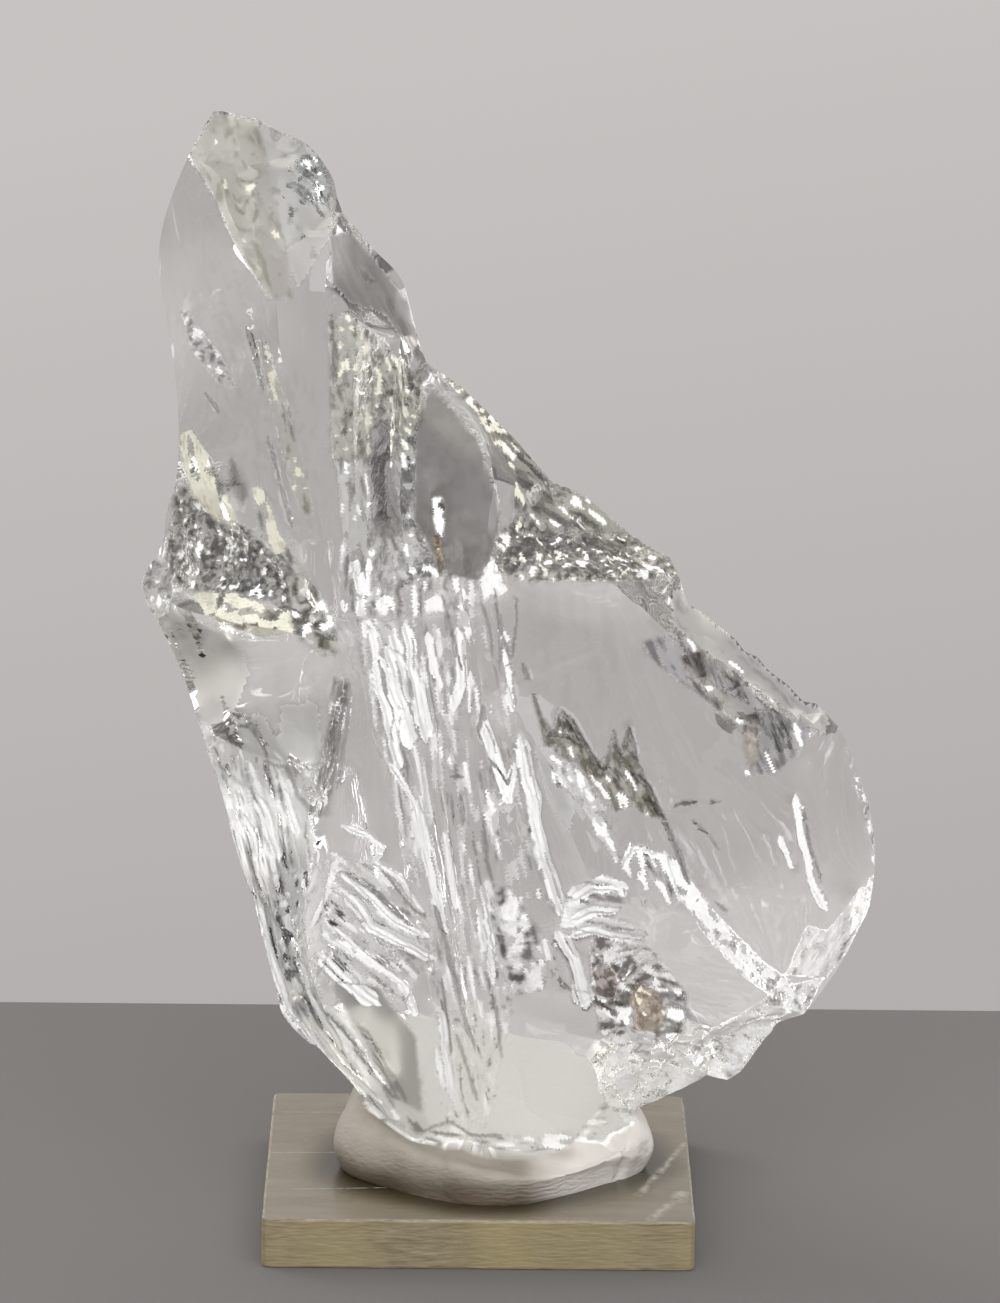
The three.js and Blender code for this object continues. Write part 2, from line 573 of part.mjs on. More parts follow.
function toSolid(geometry) {
  const bare = geometry.clone();
  for (const name of ['normal', 'uv']) bare.deleteAttribute(name);
  const merged = mergeVertices(bare, 1e-4);
  return new wasm.Manifold(new wasm.Mesh({
    numProp: 3,
    vertProperties: new Float32Array(merged.attributes.position.array),
    triVerts: new Uint32Array(merged.index.array),
  }));
}

function fromSolid(solid) {
  const { vertProperties, triVerts } = solid.getMesh();
  const geometry = new THREE.BufferGeometry();
  geometry.setAttribute('position', new THREE.Float32BufferAttribute(vertProperties, 3));
  geometry.setIndex([...triVerts]);
  return geometry;
}

// ---------------------------------------------------------------- the three pieces

function crystalTriangles() {
  const front = frontFacets.flatMap((facet) => meshFacet(facet, 1));
  const back = backFacets.flatMap((facet) => meshFacet(facet, -1));
  return [...front, ...back];
}

function swollenCrystal(triangles, by) {
  // the shard grown by a skin of even thickness
  const normals = new Map();
  for (const t of triangles) {
    const [a, b, c] = t.map((v) => points[v]);
    const face = b.clone().sub(a).cross(c.clone().sub(a));
    for (const v of t) normals.set(v, (normals.get(v) ?? new THREE.Vector3()).add(face));
  }
  for (const normal of normals.values()) normal.normalize();
  return toGeometry(triangles, (v) => points[v].clone().addScaledVector(normals.get(v), by));
}

function sillHeight(x, y) {
  // how high the putty may stand in front of the shard
  if (y > lump.frontStart) return Infinity;
  const inside = THREE.MathUtils.clamp(x, lump.sill[0][0], lump.sill.at(-1)[0] - 1e-6);
  const after = lump.sill.findIndex(([at]) => at > inside);
  const [[left, leftHeight], [right, rightHeight]] = lump.sill.slice(after - 1, after + 1);
  const height = THREE.MathUtils.mapLinear(inside, left, right, leftHeight, rightHeight);
  return height + lump.sillRise * (lump.frontStart - y);
}

function lumpGeometry() {
  // a dome pressed flat on the plate, uneven round its foot, higher at the left and the back and
  // pressed down to the sill in front
  const rounds = 40;
  const rises = 9;
  const position = [];
  const index = [];
  const place = (turn, rise) => {
    const angle = 2 * Math.PI * turn;
    const [c, s] = [Math.cos(angle), Math.sin(angle)];
    const power = lump.squareness;
    const squircle = (Math.abs(c) ** power + Math.abs(s) ** power) ** (-1 / power);
    const lobes = 1 + 0.035 * Math.cos(3 * angle + 0.6) + 0.02 * Math.cos(5 * angle + 2);
    const swell = Math.sqrt(Math.max(0, 1 - rise ** 3.2)) * (0.93 + 0.07 * Math.min(1, rise * 5));
    const toBack = THREE.MathUtils.smoothstep(s, 0, 0.9);
    const banked = THREE.MathUtils.lerp(lump.height, lump.backHeight, toBack);
    const tall = banked * (1 + 0.12 * Math.cos(angle - 2.6));
    const x = lump.centre[0] + lump.halfWidth * squircle * lobes * swell * c;
    const y = lump.centre[1] + lump.halfDepth * squircle * lobes * swell * s;
    const z = plate.thickness + tall * rise * (0.92 + 0.08 * swell);
    return [x, y, Math.min(z, sillHeight(x, y) - 0.3 * (1 - rise))];
  };
  for (let j = 0; j < rises; j++) {
    for (let i = 0; i < rounds; i++) position.push(...place(i / rounds, (j / rises) ** 1.1));
  }
  const top = position.length / 3;
  position.push(...place(0, 1));
  const bottom = top + 1;
  position.push(lump.centre[0], lump.centre[1], plate.thickness);
  for (let i = 0; i < rounds; i++) {
    const next = (i + 1) % rounds;
    for (let j = 0; j < rises - 1; j++) {
      const [a, b] = [j * rounds + i, j * rounds + next];
      index.push(a, b, b + rounds, a, b + rounds, a + rounds);
    }
    index.push((rises - 1) * rounds + i, (rises - 1) * rounds + next, top, next, i, bottom);
  }
  const geometry = new THREE.BufferGeometry();
  geometry.setAttribute('position', new THREE.Float32BufferAttribute(position, 3));
  geometry.setIndex(index);
  return geometry;
}

function puttyGeometry(triangles) {
  const socket = toSolid(swollenCrystal(triangles, lump.socketGap));
  return fromSolid(toSolid(lumpGeometry()).subtract(socket));
}

function plateGeometry() {
  const half = plate.side / 2 - plate.bevel;
  const r = plate.corner;
  const outline = new THREE.Shape();
  outline.moveTo(-half + r, -half);
  outline.lineTo(half - r, -half).quadraticCurveTo(half, -half, half, -half + r);
  outline.lineTo(half, half - r).quadraticCurveTo(half, half, half - r, half);
  outline.lineTo(-half + r, half).quadraticCurveTo(-half, half, -half, half - r);
  outline.lineTo(-half, -half + r).quadraticCurveTo(-half, -half, -half + r, -half);
  const geometry = new THREE.ExtrudeGeometry(outline, {
    depth: plate.thickness - 2 * plate.bevel, bevelThickness: plate.bevel, bevelSize: plate.bevel,
    bevelSegments: 2, curveSegments: 3,
  });
  return geometry.translate(0, 0, plate.bevel);
}

function piece(name, geometry, material) {
  const mesh = new THREE.Mesh(geometry, material);
  mesh.name = name;
  geometry.computeVertexNormals();
  return mesh;
}

const glass = new THREE.MeshStandardMaterial({ color: 0xe9edea, roughness: 0.02, metalness: 0 });
const putty = new THREE.MeshStandardMaterial({ color: 0xe6e2da, roughness: 0.75, metalness: 0 });
const acrylic = new THREE.MeshStandardMaterial({ color: 0xcfc79b, roughness: 0.12, metalness: 0 });

const shard = crystalTriangles();
const group = new THREE.Group();
group.add(
  piece('crystal', toGeometry(shard), glass),
  piece('putty', puttyGeometry(shard), putty),
  piece('base', plateGeometry(), acrylic),
);

export default group;
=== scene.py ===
"""The andara crystal: a clear glass shard in a lump of mineral putty on a yellowed acrylic plate.

The CAD frame: +Z up, +X right, +Y away from the camera, origin under the plate. The stage is given
in metres. The pieces are worked on in millimetres, and stored in metres.
"""
import math
from dataclasses import dataclass

import bpy
import numpy as np
from mathutils import Matrix, Vector
from mathutils.bvhtree import BVHTree

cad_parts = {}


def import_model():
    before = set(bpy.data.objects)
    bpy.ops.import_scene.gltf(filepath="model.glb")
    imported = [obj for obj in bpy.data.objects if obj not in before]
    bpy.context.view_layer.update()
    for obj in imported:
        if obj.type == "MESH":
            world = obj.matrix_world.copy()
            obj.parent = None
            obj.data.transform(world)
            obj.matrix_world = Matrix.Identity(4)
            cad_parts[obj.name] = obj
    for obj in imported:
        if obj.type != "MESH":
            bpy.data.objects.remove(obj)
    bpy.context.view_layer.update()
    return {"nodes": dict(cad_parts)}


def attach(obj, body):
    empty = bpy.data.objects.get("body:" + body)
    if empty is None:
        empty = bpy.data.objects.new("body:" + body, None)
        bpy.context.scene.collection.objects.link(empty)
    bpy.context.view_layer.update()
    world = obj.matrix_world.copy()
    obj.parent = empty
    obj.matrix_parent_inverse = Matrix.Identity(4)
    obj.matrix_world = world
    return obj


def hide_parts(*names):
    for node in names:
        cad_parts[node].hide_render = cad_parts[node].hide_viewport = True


MM = 0.001
FAR = 1e9                # farther than any place
TINY = 1e-12             # keeps a division from failing
HASH_START = 2166136261  # numbers that mix well
HASH_PRIME = 16777619

# ---------------------------------------------------------------- camera

CAMERA_PLACE = Vector((-2.2, -789.4, 253.4)) * MM
CAMERA_PITCH = math.radians(13.2)  # looking down
CAMERA_TURN = math.radians(-0.3)
CAMERA_ROLL = math.radians(0.6)
CAMERA_LENS_MM = 189.6             # on Blender's 36 mm sensor, along the frame's long side

# ---------------------------------------------------------------- stage and lights

TABLE_BACK = 0.085  # its far edge shows behind the object
TABLE_THICK = 0.02
TABLE_REACH = 3.0
TABLE_COLOUR = (0.130, 0.121, 0.116)

# The wall behind the object: grey by height above the horizon, in degrees
WALL_GREYS = [(-50, 0.10), (-31.5, 0.17), (-29, 0.46), (-16, 0.45), (-8, 0.57), (25, 0.60), (45, 1.5)]
WALL_TILT = 0.15      # its foot drops to the left by this much
WALL_TINT = (1.0, 0.957, 0.94)
WALL_WIDE = (52, 70)  # degrees aside where the wall begins to darken and ends
ROOM_COLOUR = (0.045, 0.045, 0.047)
LIGHT_AIM = Vector((0.0, 0.0, 0.06))
LIGHT_AWAY = 1.3
# Softboxes: degrees to the right of straight behind, degrees up, size in metres and power
SOFTBOXES = {
    "overhead": (0, 88, (2.2, 1.5), 16),
    "left": (-58, 12, (0.85, 1.1), 12),
    "right": (62, 5, (1.0, 0.3), 4),
    "front": (160, 50, (1.2, 0.7), 5),
    "low front": (180, 25, (1.7, 1.1), 16),
}
# Panels that lie on the table: two corners each
LOW_PANELS = {
    "low left": ((-0.62, 0.0), (-0.21, 0.14)),
    "low right": ((0.13, -0.05), (0.62, 0.2)),
}
PANEL_HEIGHT = 0.004
PANEL_GLOW = 3.0

# ---------------------------------------------------------------- the shard's mesh

CREASE_ANGLE = math.radians(22)  # facets that meet more sharply than this keep their edge
SHARP_ANGLE = math.radians(38)   # shading breaks at edges sharper than this
SMOOTH_ROUNDS = 14
FINE_ROUNDS = 2                  # of smoothing after each split
CREASE_PACE = 0.25               # crease points move this share of the way in a round
COARSE = 1.3                     # edge length on the plain windows
FINE = 0.38                      # edge length where the surface is broken up
SPLIT_ROUNDS = 4
LONG_EDGE = 1.4                  # an edge this many times too long is cut in two
MERGE_STEPS = 1000               # points that agree to this share of a millimetre are one

FRONT = -1      # the sheets, by the sign of their normals' y
BACK = 1
RIM_TURN = 2.5  # how abruptly one sheet ends and the other begins

WHITE_SLOT = 1              # material slots of the faces bruised and painted white and cream as highlights
CREAM_SLOT = 2
FROST_SLOT = 3
GLASS_COLOUR = (0.982, 0.977, 0.958)
GLASS_DENSITY = 4.0
GLASS_IOR = 1.5
CLEAR_TINT = (1.0, 1.0, 0.995)
SHADE = (0.16, 0.16, 0.15)  # painted shade: the dark marks' tint, where a zone gives none
FADE = 0.8                  # width of a zone's soft edge, where it gives none
FADE_OUTSIDE = 0.3          # share of that edge that lies outside its outline
MARK_SPREAD = 0.27          # the marks' noise spreads this far about its middle
MARK_EDGE = 1.5             # how abruptly a mark begins
LOGISTIC = 0.588            # turns a share's odds into the height that the noise passes in it
FINE_SHARE = 0.35           # of the marks' noise that is finer than the rest
FINE_SCALE = 2.1            # by this much
CHIP_BEND = 0.3             # how far the scoops' places are bent, in scoops
CHIP_BEND_SCALE = 0.8
CHIP_LEVEL = 0.5            # the height among them that is level with the sheet
CHIP_RISE = 1.6             # how steeply the scoops rise to the ridges between them
RIDGE_BEND = 0.35           # how far the ridges' courses bend, in ridges
RIDGE_BEND_SCALE = (0.7, 1.3)
CURL_SCALE = 0.5
STRONG = 0.3                # a zone heavier than this decides the run of the glass's flaws
CHIP_SEED = 30              # where each kind of noise starts
CHIP_SEED_STEP = 7
CHIP_BEND_SEED = 70
RIDGE_SEED = 50
RIDGE_BEND_SEED = 60
MARK_SEEDS = {"white": 80, "cream": 90, "frost": 95}
SEED_STEP = 5               # from a noise's own seed to that of the one that goes with it


@dataclass
class Zone:
    """A broken or marked patch of one sheet, and what it looks like."""
    name: str
    outline: list             # its corners, as (x, z) places
    sheet: int = FRONT
    edge: float = FINE        # edge length of the mesh
    chips: tuple = ()         # the width and depth of round scoops
    ridges: tuple = ()        # the width and depth of long ridges
    way: float = 0            # degrees that ridges and marks lean right on their way down
    reach: float = 1          # how many times longer than wide they are
    mark: float = 0.5         # width of the marks
    curl: float = 0           # how much the marks bend
    frost: float = 0          # the share of the zone that is frosted
    white: float = 0          # the share bruised and painted white as highlight
    cream: float = 0          # the share bruised and painted cream as highlight
    dark: float = 0           # the share under dark marks of painted shade
    tint: tuple = CLEAR_TINT  # of the clear part; where it is darkened, that is painted shade
    shade: tuple = SHADE      # the dark marks' tint, a painted shade
    grain: float = 0          # how rough it is to the light
    fade: float = FADE


ZONES = [
    Zone("column", [(-16, 80), (-1, 82), (1, 66), (4, 50), (6, 38), (2, 30), (1, 9), (-4, 11), (-6, 30),
         (-10, 50), (-14, 66)], ridges=[(1.5, 0.2), (0.6, 0.06)], way=9, reach=9, mark=0.45, frost=0.3,
         white=0.14, dark=0.06, shade=(0.35, 0.35, 0.34), grain=0.5, fade=1.4),
    Zone("window streaks", [(4, 79), (18, 78), (17, 68), (12, 62), (8, 65), (5, 70)], edge=0.7,
         ridges=[(1.6, 0.03)], way=3, reach=14, mark=1.0, dark=0.3, tint=(1.0, 1.0, 1.0),
         shade=(0.9, 0.9, 0.9), fade=2),
    Zone("side streaks", [(-33, 71), (-18, 71), (-17, 60), (-21, 57), (-27, 62)], edge=0.8,
         ridges=[(1.8, 0.03)], way=5, reach=12, mark=1.0, dark=0.3, tint=(1.0, 1.0, 1.0),
         shade=(0.9, 0.9, 0.9), fade=2),
    Zone("bright column", [(-1, 81), (3, 67), (7, 52), (10, 42), (13, 30), (6, 32), (4, 46), (0, 62)],
         ridges=[(1.6, 0.16), (0.6, 0.05)], way=11, reach=9, frost=0.2, white=0.1, dark=0.05,
         shade=(0.4, 0.4, 0.4), grain=0.4, fade=1.4),
    Zone("fringe", [(-17, 83), (-14, 87), (-9, 86), (-4, 84), (2, 82), (3, 78), (-2, 76), (-9, 75),
         (-17, 75)], ridges=[(1.3, 0.3), (0.6, 0.1)], way=2, reach=4, mark=0.6, frost=0.35, white=0.3,
         dark=0.12, shade=(0.3, 0.3, 0.28), grain=0.8, fade=1.2),
    Zone("upper mottle", [(-18.5, 109), (-16, 110), (-12, 106), (-9, 102), (-7, 98), (-7.5, 93), (-12, 92),
         (-18, 92)], chips=[(1.5, 0.2)], reach=1.8, mark=0.6, curl=0.8, frost=0.6, white=0.05, cream=0.13,
         dark=0.26, tint=(0.62, 0.63, 0.56), shade=(0.22, 0.22, 0.17), grain=0.8),
    Zone("upper bands", [(-18, 93), (-8, 93), (-7.5, 84), (-5, 81), (-15, 80), (-16.5, 84)],
         ridges=[(1.6, 0.16), (0.6, 0.05)], way=3, reach=7, mark=0.6, frost=0.5, white=0.1, dark=0.15,
         tint=(0.78, 0.79, 0.76), shade=(0.3, 0.3, 0.28), grain=0.5),
    Zone("band", [(-13.5, 96), (-11.5, 97), (-10.5, 90), (-9.5, 84), (-13, 84), (-13.5, 90)],
         ridges=[(1.0, 0.08)], way=2, reach=8, mark=0.6, dark=0.35, tint=(0.36, 0.35, 0.34),
         shade=(0.2, 0.2, 0.19), grain=0.2),
    Zone("gable leaf", [(-18.5, 118.5), (-16, 118), (-12, 113), (-8, 107.5), (-4.5, 101.5), (-7, 101),
         (-9, 104), (-12, 108.5), (-16, 110.5), (-18, 113)], edge=0.6, way=33, reach=8, mark=0.8, frost=1.0,
         dark=0.35, tint=(0.34, 0.32, 0.31), shade=(0.27, 0.25, 0.24), fade=0.5),
    Zone("dark leaf", [(-6.6, 100), (-4.5, 98), (-1, 94.5), (1.5, 88.5), (1.8, 84), (-0.8, 79.5), (-3, 80),
         (-5, 80.5), (-8.3, 85.5), (-8.3, 94.5)], edge=0.6, way=14, reach=9, mark=0.9, frost=1.0, dark=0.35,
         tint=(0.3, 0.285, 0.275), shade=(0.25, 0.235, 0.225), fade=0.5),
    Zone("drop", [(-6.3, 88), (-5, 88.2), (-4.5, 86.5), (-4.8, 84), (-5.6, 83.7), (-6.2, 86)], edge=0.3,
         chips=[(1.2, 0.1)], mark=0.8, white=0.75, dark=0.1, fade=0.4),
    Zone("drop tail", [(-6, 84.2), (-5.2, 84.2), (-4.5, 81), (-5.2, 79.6), (-5.8, 82)], edge=0.3, reach=3,
         mark=0.6, white=0.1, dark=0.3, tint=(0.6, 0.42, 0.22), shade=(0.25, 0.12, 0.05), fade=0.4),
    Zone("cap", [(-35, 127), (-32, 132), (-27, 130.5), (-25, 126), (-23, 119), (-22.5, 111), (-25.5, 111),
         (-29.3, 117), (-31.6, 122)], chips=[(2.4, 0.03), (1.0, 0.015)], way=18, reach=1.6, mark=1.0,
         curl=1.6, frost=1.0, cream=0.04, dark=0.14, tint=(0.68, 0.66, 0.59), shade=(0.42, 0.43, 0.34),
         grain=0.4),
    Zone("cap right", [(-27, 131), (-20, 127.5), (-17.5, 121), (-18.5, 118), (-22, 112), (-24, 119),
         (-26, 126)], chips=[(3.0, 0.06)], mark=1.2, curl=1.0, frost=0.85, dark=0.1, tint=(0.79, 0.78, 0.75),
         shade=(0.5, 0.51, 0.49), grain=0.3),
    Zone("cap swirl", [(-22, 127), (-19, 126.5), (-18, 123.5), (-19, 121), (-22, 121.5), (-23, 124)],
         chips=[(1.8, 0.1)], way=40, reach=1.5, mark=0.6, curl=1.2, frost=0.3, white=0.12, dark=0.2,
         tint=(0.72, 0.77, 0.76), shade=(0.22, 0.25, 0.27), grain=0.6),
    Zone("veil", [(-36, 112), (-30, 117), (-26, 108), (-19, 101), (-18.5, 82), (-24, 84), (-30, 93),
         (-35, 98)], edge=0.6, ridges=[(2.4, 0.04), (0.8, 0.012)], way=17, reach=16, mark=0.4, dark=0.2,
         shade=(0.86, 0.86, 0.85), fade=2.5),
    Zone("crumb streak", [(-36, 109), (-35, 109), (-31, 104), (-29, 100), (-31, 100), (-34.5, 104)],
         chips=[(1.0, 0.12)], curl=1.0, white=0.2, dark=0.25, grain=0.8),
    Zone("ridge marks", [(-27, 106), (-25.5, 106), (-21, 92), (-19.5, 86), (-21.5, 86), (-24, 93)],
         chips=[(1.2, 0.05)], way=15, reach=5, cream=0.1, dark=0.2, tint=(0.92, 0.93, 0.84),
         shade=(0.35, 0.34, 0.24), grain=0.5),
    Zone("ledge top", [(-36.5, 94), (-34.5, 95), (-31, 90), (-28.6, 84.5), (-30.5, 82.5), (-34.5, 87)],
         chips=[(2.0, 0.05)], way=20, reach=3, mark=1.2, cream=0.75, tint=(0.92, 0.92, 0.8), grain=0.4),
    Zone("ledge vein", [(-27.5, 89), (-25.5, 89), (-24, 84), (-20, 79), (-19, 76), (-22, 78), (-26, 82)],
         chips=[(2.0, 0.05)], way=25, reach=3, mark=1.2, cream=0.55, dark=0.1, tint=(0.92, 0.92, 0.8),
         grain=0.4),
    Zone("diamond", [(-30, 92.5), (-28.5, 90.5), (-27.5, 88), (-28.5, 86), (-30, 88.5)], edge=0.5, way=20,
         reach=5, mark=0.7, dark=0.5, tint=(0.5, 0.49, 0.46), shade=(0.25, 0.25, 0.22), grain=0.2),
    Zone("left ledge", [(-36.5, 88), (-35, 88), (-31.5, 84.5), (-28, 84.5), (-23, 80), (-20, 77),
         (-18.5, 74.5), (-21, 73.5), (-25, 76), (-29, 76.5), (-34, 76), (-38, 77)], chips=[(1.1, 0.3),
         (0.6, 0.1)], mark=0.42, curl=1.5, frost=0.3, white=0.13, dark=0.42, tint=(0.52, 0.51, 0.47),
         shade=(0.045, 0.045, 0.04), grain=0.8),
    Zone("ledge knee", [(-41, 78), (-39, 79.5), (-37, 78), (-36, 73), (-38, 70.5), (-40.5, 73)],
         chips=[(1.4, 0.2), (0.7, 0.08)], mark=0.8, curl=1.2, frost=0.3, white=0.08, dark=0.22,
         tint=(0.72, 0.73, 0.7), shade=(0.2, 0.2, 0.19), grain=0.7),
    Zone("ledge foot", [(-35, 76), (-29, 77), (-26, 76), (-22, 75), (-20.5, 73.5), (-26, 72), (-32, 73.5)],
         chips=[(2.0, 0.06)], reach=0.6, mark=1.4, curl=0.6, cream=0.6, dark=0.1, tint=(0.9, 0.88, 0.74),
         shade=(0.12, 0.1, 0.06), grain=0.4),
    Zone("under ledge", [(-39, 73.5), (-36, 74), (-28, 72.5), (-27, 67), (-29, 61.5), (-33.5, 58.5),
         (-37, 64)], edge=0.6, way=15, reach=6, mark=1.2, frost=0.9, dark=0.08, tint=(0.64, 0.635, 0.62),
         shade=(0.45, 0.45, 0.44), fade=2.2),
    Zone("ledge end", [(-23, 79), (-20.5, 79.5), (-17.5, 75), (-16.5, 70), (-20.5, 70.5), (-22.5, 74)],
         chips=[(1.6, 0.25)], way=15, reach=2, mark=0.8, curl=1.0, frost=0.3, white=0.14, dark=0.3,
         tint=(0.75, 0.74, 0.66), shade=(0.12, 0.12, 0.08), grain=0.7),
    Zone("cream fringe", [(-6.5, 102), (-5, 102.5), (0.5, 97), (5.5, 92.5), (9, 88.5), (9, 85.5), (6, 86.5),
         (2.5, 91), (-2, 97)], chips=[(1.4, 0.12)], way=-50, reach=4, mark=0.7, white=0.14, cream=0.45,
         dark=0.16, tint=(0.88, 0.87, 0.74), shade=(0.2, 0.17, 0.1), grain=0.6),
    Zone("right ledge", [(3.5, 92), (9, 91), (16, 85.5), (23, 79.5), (22, 78), (13, 80.5), (6, 82.5),
         (3, 85)], chips=[(1.8, 0.12)], way=48, reach=3, mark=0.8, curl=0.8, frost=0.4, white=0.06,
         cream=0.07, dark=0.35, tint=(0.5, 0.5, 0.44), shade=(0.1, 0.1, 0.08), grain=0.6),
    Zone("ledge curls", [(1, 84), (4, 86), (9, 83.5), (16, 82.5), (23, 79.5), (24, 77.5), (13, 78.5),
         (5, 79), (1, 80.5)], chips=[(1.3, 0.25), (0.6, 0.1)], reach=0.7, mark=0.6, curl=1.6, frost=0.15,
         white=0.12, cream=0.12, dark=0.42, tint=(0.8, 0.79, 0.7), shade=(0.06, 0.06, 0.04), grain=0.8),
    Zone("slope bevel", [(22, 76.5), (25, 76), (33, 68), (41.5, 62), (40.5, 58.5), (33, 64), (27, 68.5),
         (22, 72.5)], edge=0.6, ridges=[(0.9, 0.05)], way=52, reach=4, frost=1.0, white=0.015, dark=0.16,
         tint=(0.77, 0.75, 0.74), shade=(0.5, 0.5, 0.49), fade=0.5),
    Zone("slope edge", [(22.5, 77.5), (24.5, 77.3), (28, 73.5), (34, 68), (41, 62.8), (40.5, 61.2),
         (33.5, 66.3), (27, 72)], curl=1.4, frost=0.9, white=0.06, dark=0.2, tint=(0.74, 0.725, 0.715),
         shade=(0.5, 0.5, 0.49), grain=0.7, fade=0.4),
    Zone("slope patch", [(18.5, 71), (21, 71.5), (24.5, 71), (27.5, 67.5), (30.5, 65.5), (33, 63.5),
         (36, 62), (39.5, 59.5), (38.5, 58.5), (37, 57), (34.5, 55), (30.5, 55), (31.5, 58.5), (29.5, 60.5),
         (27.5, 62.5), (23.5, 65.5), (21, 67.5), (19, 69.5)], edge=0.34, chips=[(2.6, 0.12)],
         ridges=[(0.9, 0.1)], way=22, reach=7, mark=0.7, curl=0.3, frost=0.45, white=0.06, dark=0.24,
         tint=(0.56, 0.55, 0.57), shade=(0.2, 0.195, 0.21), grain=0.4, fade=0.5),
    Zone("slope band", [(23, 69), (26, 69.5), (26.5, 66), (29, 64), (31, 62), (33, 62.5), (33, 59.5),
         (30, 60.5), (27, 63), (24, 65.5)], edge=0.34, way=40, reach=1.5, mark=1.3, frost=0.3, white=0.1,
         dark=0.3, tint=(0.62, 0.58, 0.56), shade=(0.1, 0.08, 0.075), fade=0.5),
    Zone("brown glow", [(30.5, 61), (32.5, 60.5), (32.5, 57), (31.5, 55.5), (30.5, 58)], edge=0.34, way=-30,
         reach=3, mark=0.6, white=0.08, dark=0.2, tint=(0.74, 0.63, 0.53), shade=(0.45, 0.33, 0.24),
         fade=0.4),
    Zone("crown", [(5, 68), (6, 66.5), (7, 63.5), (8.2, 61.8), (8.8, 64), (10.5, 63.2), (12, 61),
         (13.5, 58.6), (15, 59), (15.3, 62), (16, 59.6), (17, 62.3), (17.6, 59), (18.6, 57), (20, 54.5),
         (21.6, 51.5), (19.5, 51.5), (17.5, 53), (15.5, 52.5), (13, 55.5), (11, 58.5), (9, 59), (7.5, 59)],
         edge=0.34, chips=[(1.0, 0.16)], way=25, reach=2.2, mark=0.6, curl=0.8, frost=0.25, white=0.08,
         dark=0.5, tint=(0.58, 0.56, 0.48), shade=(0.13, 0.12, 0.08), grain=0.5, fade=0.4),
    Zone("beside main", [(5.8, 60.5), (8.2, 60.5), (11, 53), (9.8, 50), (7.5, 54)], edge=0.5, mark=0.8,
         frost=1.0, tint=(0.9, 0.9, 0.89), fade=0.5),
    Zone("under crown", [(7.5, 60), (10, 59), (13, 56), (15, 53), (15.5, 50), (13, 51), (11, 54), (8, 56)],
         way=20, reach=2, mark=0.55, curl=0.8, frost=0.4, white=0.22, dark=0.1, shade=(0.3, 0.3, 0.28),
         grain=0.6),
    Zone("white strand", [(11.5, 56), (13, 55), (16.5, 47), (15.5, 46), (13, 50)], way=22, reach=4, curl=0.5,
         frost=0.5, white=0.3, dark=0.14, grain=0.5),
    Zone("wavy cap", [(16, 46), (18, 48.8), (20, 47.5), (21.5, 48), (25, 42), (22, 41), (20, 44), (19, 40),
         (18, 44)], way=20, reach=4, curl=0.6, white=0.5, dark=0.06, grain=0.5),
    Zone("diagonal", [(21.5, 47.5), (23, 46.5), (28, 39.5), (33.5, 33), (37, 30), (35.5, 28), (31, 31.5),
         (26, 37.5), (23, 42.5)], chips=[(1.2, 0.14)], way=36, reach=2.2, curl=0.5, white=0.62, dark=0.08,
         shade=(0.35, 0.36, 0.36), grain=0.7),
    Zone("hackles", [(10, 43.5), (14, 45.5), (17.5, 44), (16, 40), (20, 37.5), (18, 35.5), (12, 38),
         (9, 38.5)], ridges=[(1.0, 0.14)], way=78, reach=6, frost=0.5, white=0.78, dark=0.1,
         shade=(0.25, 0.25, 0.24), grain=0.5),
    Zone("scar", [(12.5, 37), (15, 38), (19, 36.5), (22, 33), (24.5, 29), (24, 24.5), (21, 22.5), (17, 22.5),
         (14, 25), (13, 30)], chips=[(1.6, 0.25), (0.8, 0.1)], way=70, reach=1.5, mark=0.7, curl=1.2,
         frost=0.3, white=0.34, dark=0.34, tint=(0.8, 0.78, 0.76), shade=(0.07, 0.065, 0.06), grain=0.7),
    Zone("scar eye", [(17.5, 29), (19, 30.5), (21, 29.5), (22, 27), (20.5, 25), (18.5, 25.5)], edge=0.3,
         mark=0.8, curl=1.2, cream=0.1, dark=0.5, tint=(0.46, 0.35, 0.25), shade=(0.14, 0.09, 0.05),
         fade=0.5),
    Zone("scar patch", [(13, 33), (15, 34), (16.5, 31), (15.5, 29), (13.5, 30)], edge=0.3, reach=2, mark=0.7,
         dark=0.4, tint=(0.62, 0.5, 0.45), shade=(0.2, 0.15, 0.14), fade=0.5),
    Zone("blocks", [(0, 45), (3.5, 43.5), (6.5, 39), (8, 33), (7.5, 30.5), (4, 30), (2, 31.5)],
         chips=[(2.0, 0.35)], way=10, reach=1.2, mark=1.0, curl=0.4, frost=0.5, white=0.5, dark=0.13,
         shade=(0.12, 0.12, 0.12), grain=0.6),
    Zone("rim", [(15, 22), (19, 24.5), (24, 23), (30, 26), (35, 29.5), (41, 30), (38, 24), (30, 16),
         (18, 11), (14, 17)], chips=[(1.4, 0.12), (0.7, 0.06)], way=45, reach=1.3, mark=0.7, curl=1.0,
         frost=0.6, white=0.5, dark=0.1, tint=(0.97, 0.98, 0.97), shade=(0.3, 0.3, 0.3), grain=0.8),
    Zone("lobe foot", [(36, 31), (38.5, 37), (41, 36), (45, 41), (46.5, 40), (44, 33), (41, 29.5)],
         chips=[(1.3, 0.1)], way=-35, reach=7, mark=0.45, curl=0.3, frost=0.8, white=0.3, dark=0.05,
         grain=0.7),
    Zone("lobe rim", [(44.5, 54), (46.5, 50), (47.5, 45), (46.5, 39), (45.5, 39), (46.3, 45), (45, 50),
         (43.5, 53.5)], reach=3, white=0.3, dark=0.03, grain=0.6, fade=0.4),
    Zone("vee", [(-17.5, 68), (-15.5, 67.5), (-16.5, 58), (-18, 51), (-20.5, 50.5), (-22.5, 54.5), (-20, 57),
         (-18.5, 61)], ridges=[(0.9, 0.12)], way=-15, reach=12, mark=0.45, frost=0.2, white=0.16, dark=0.35,
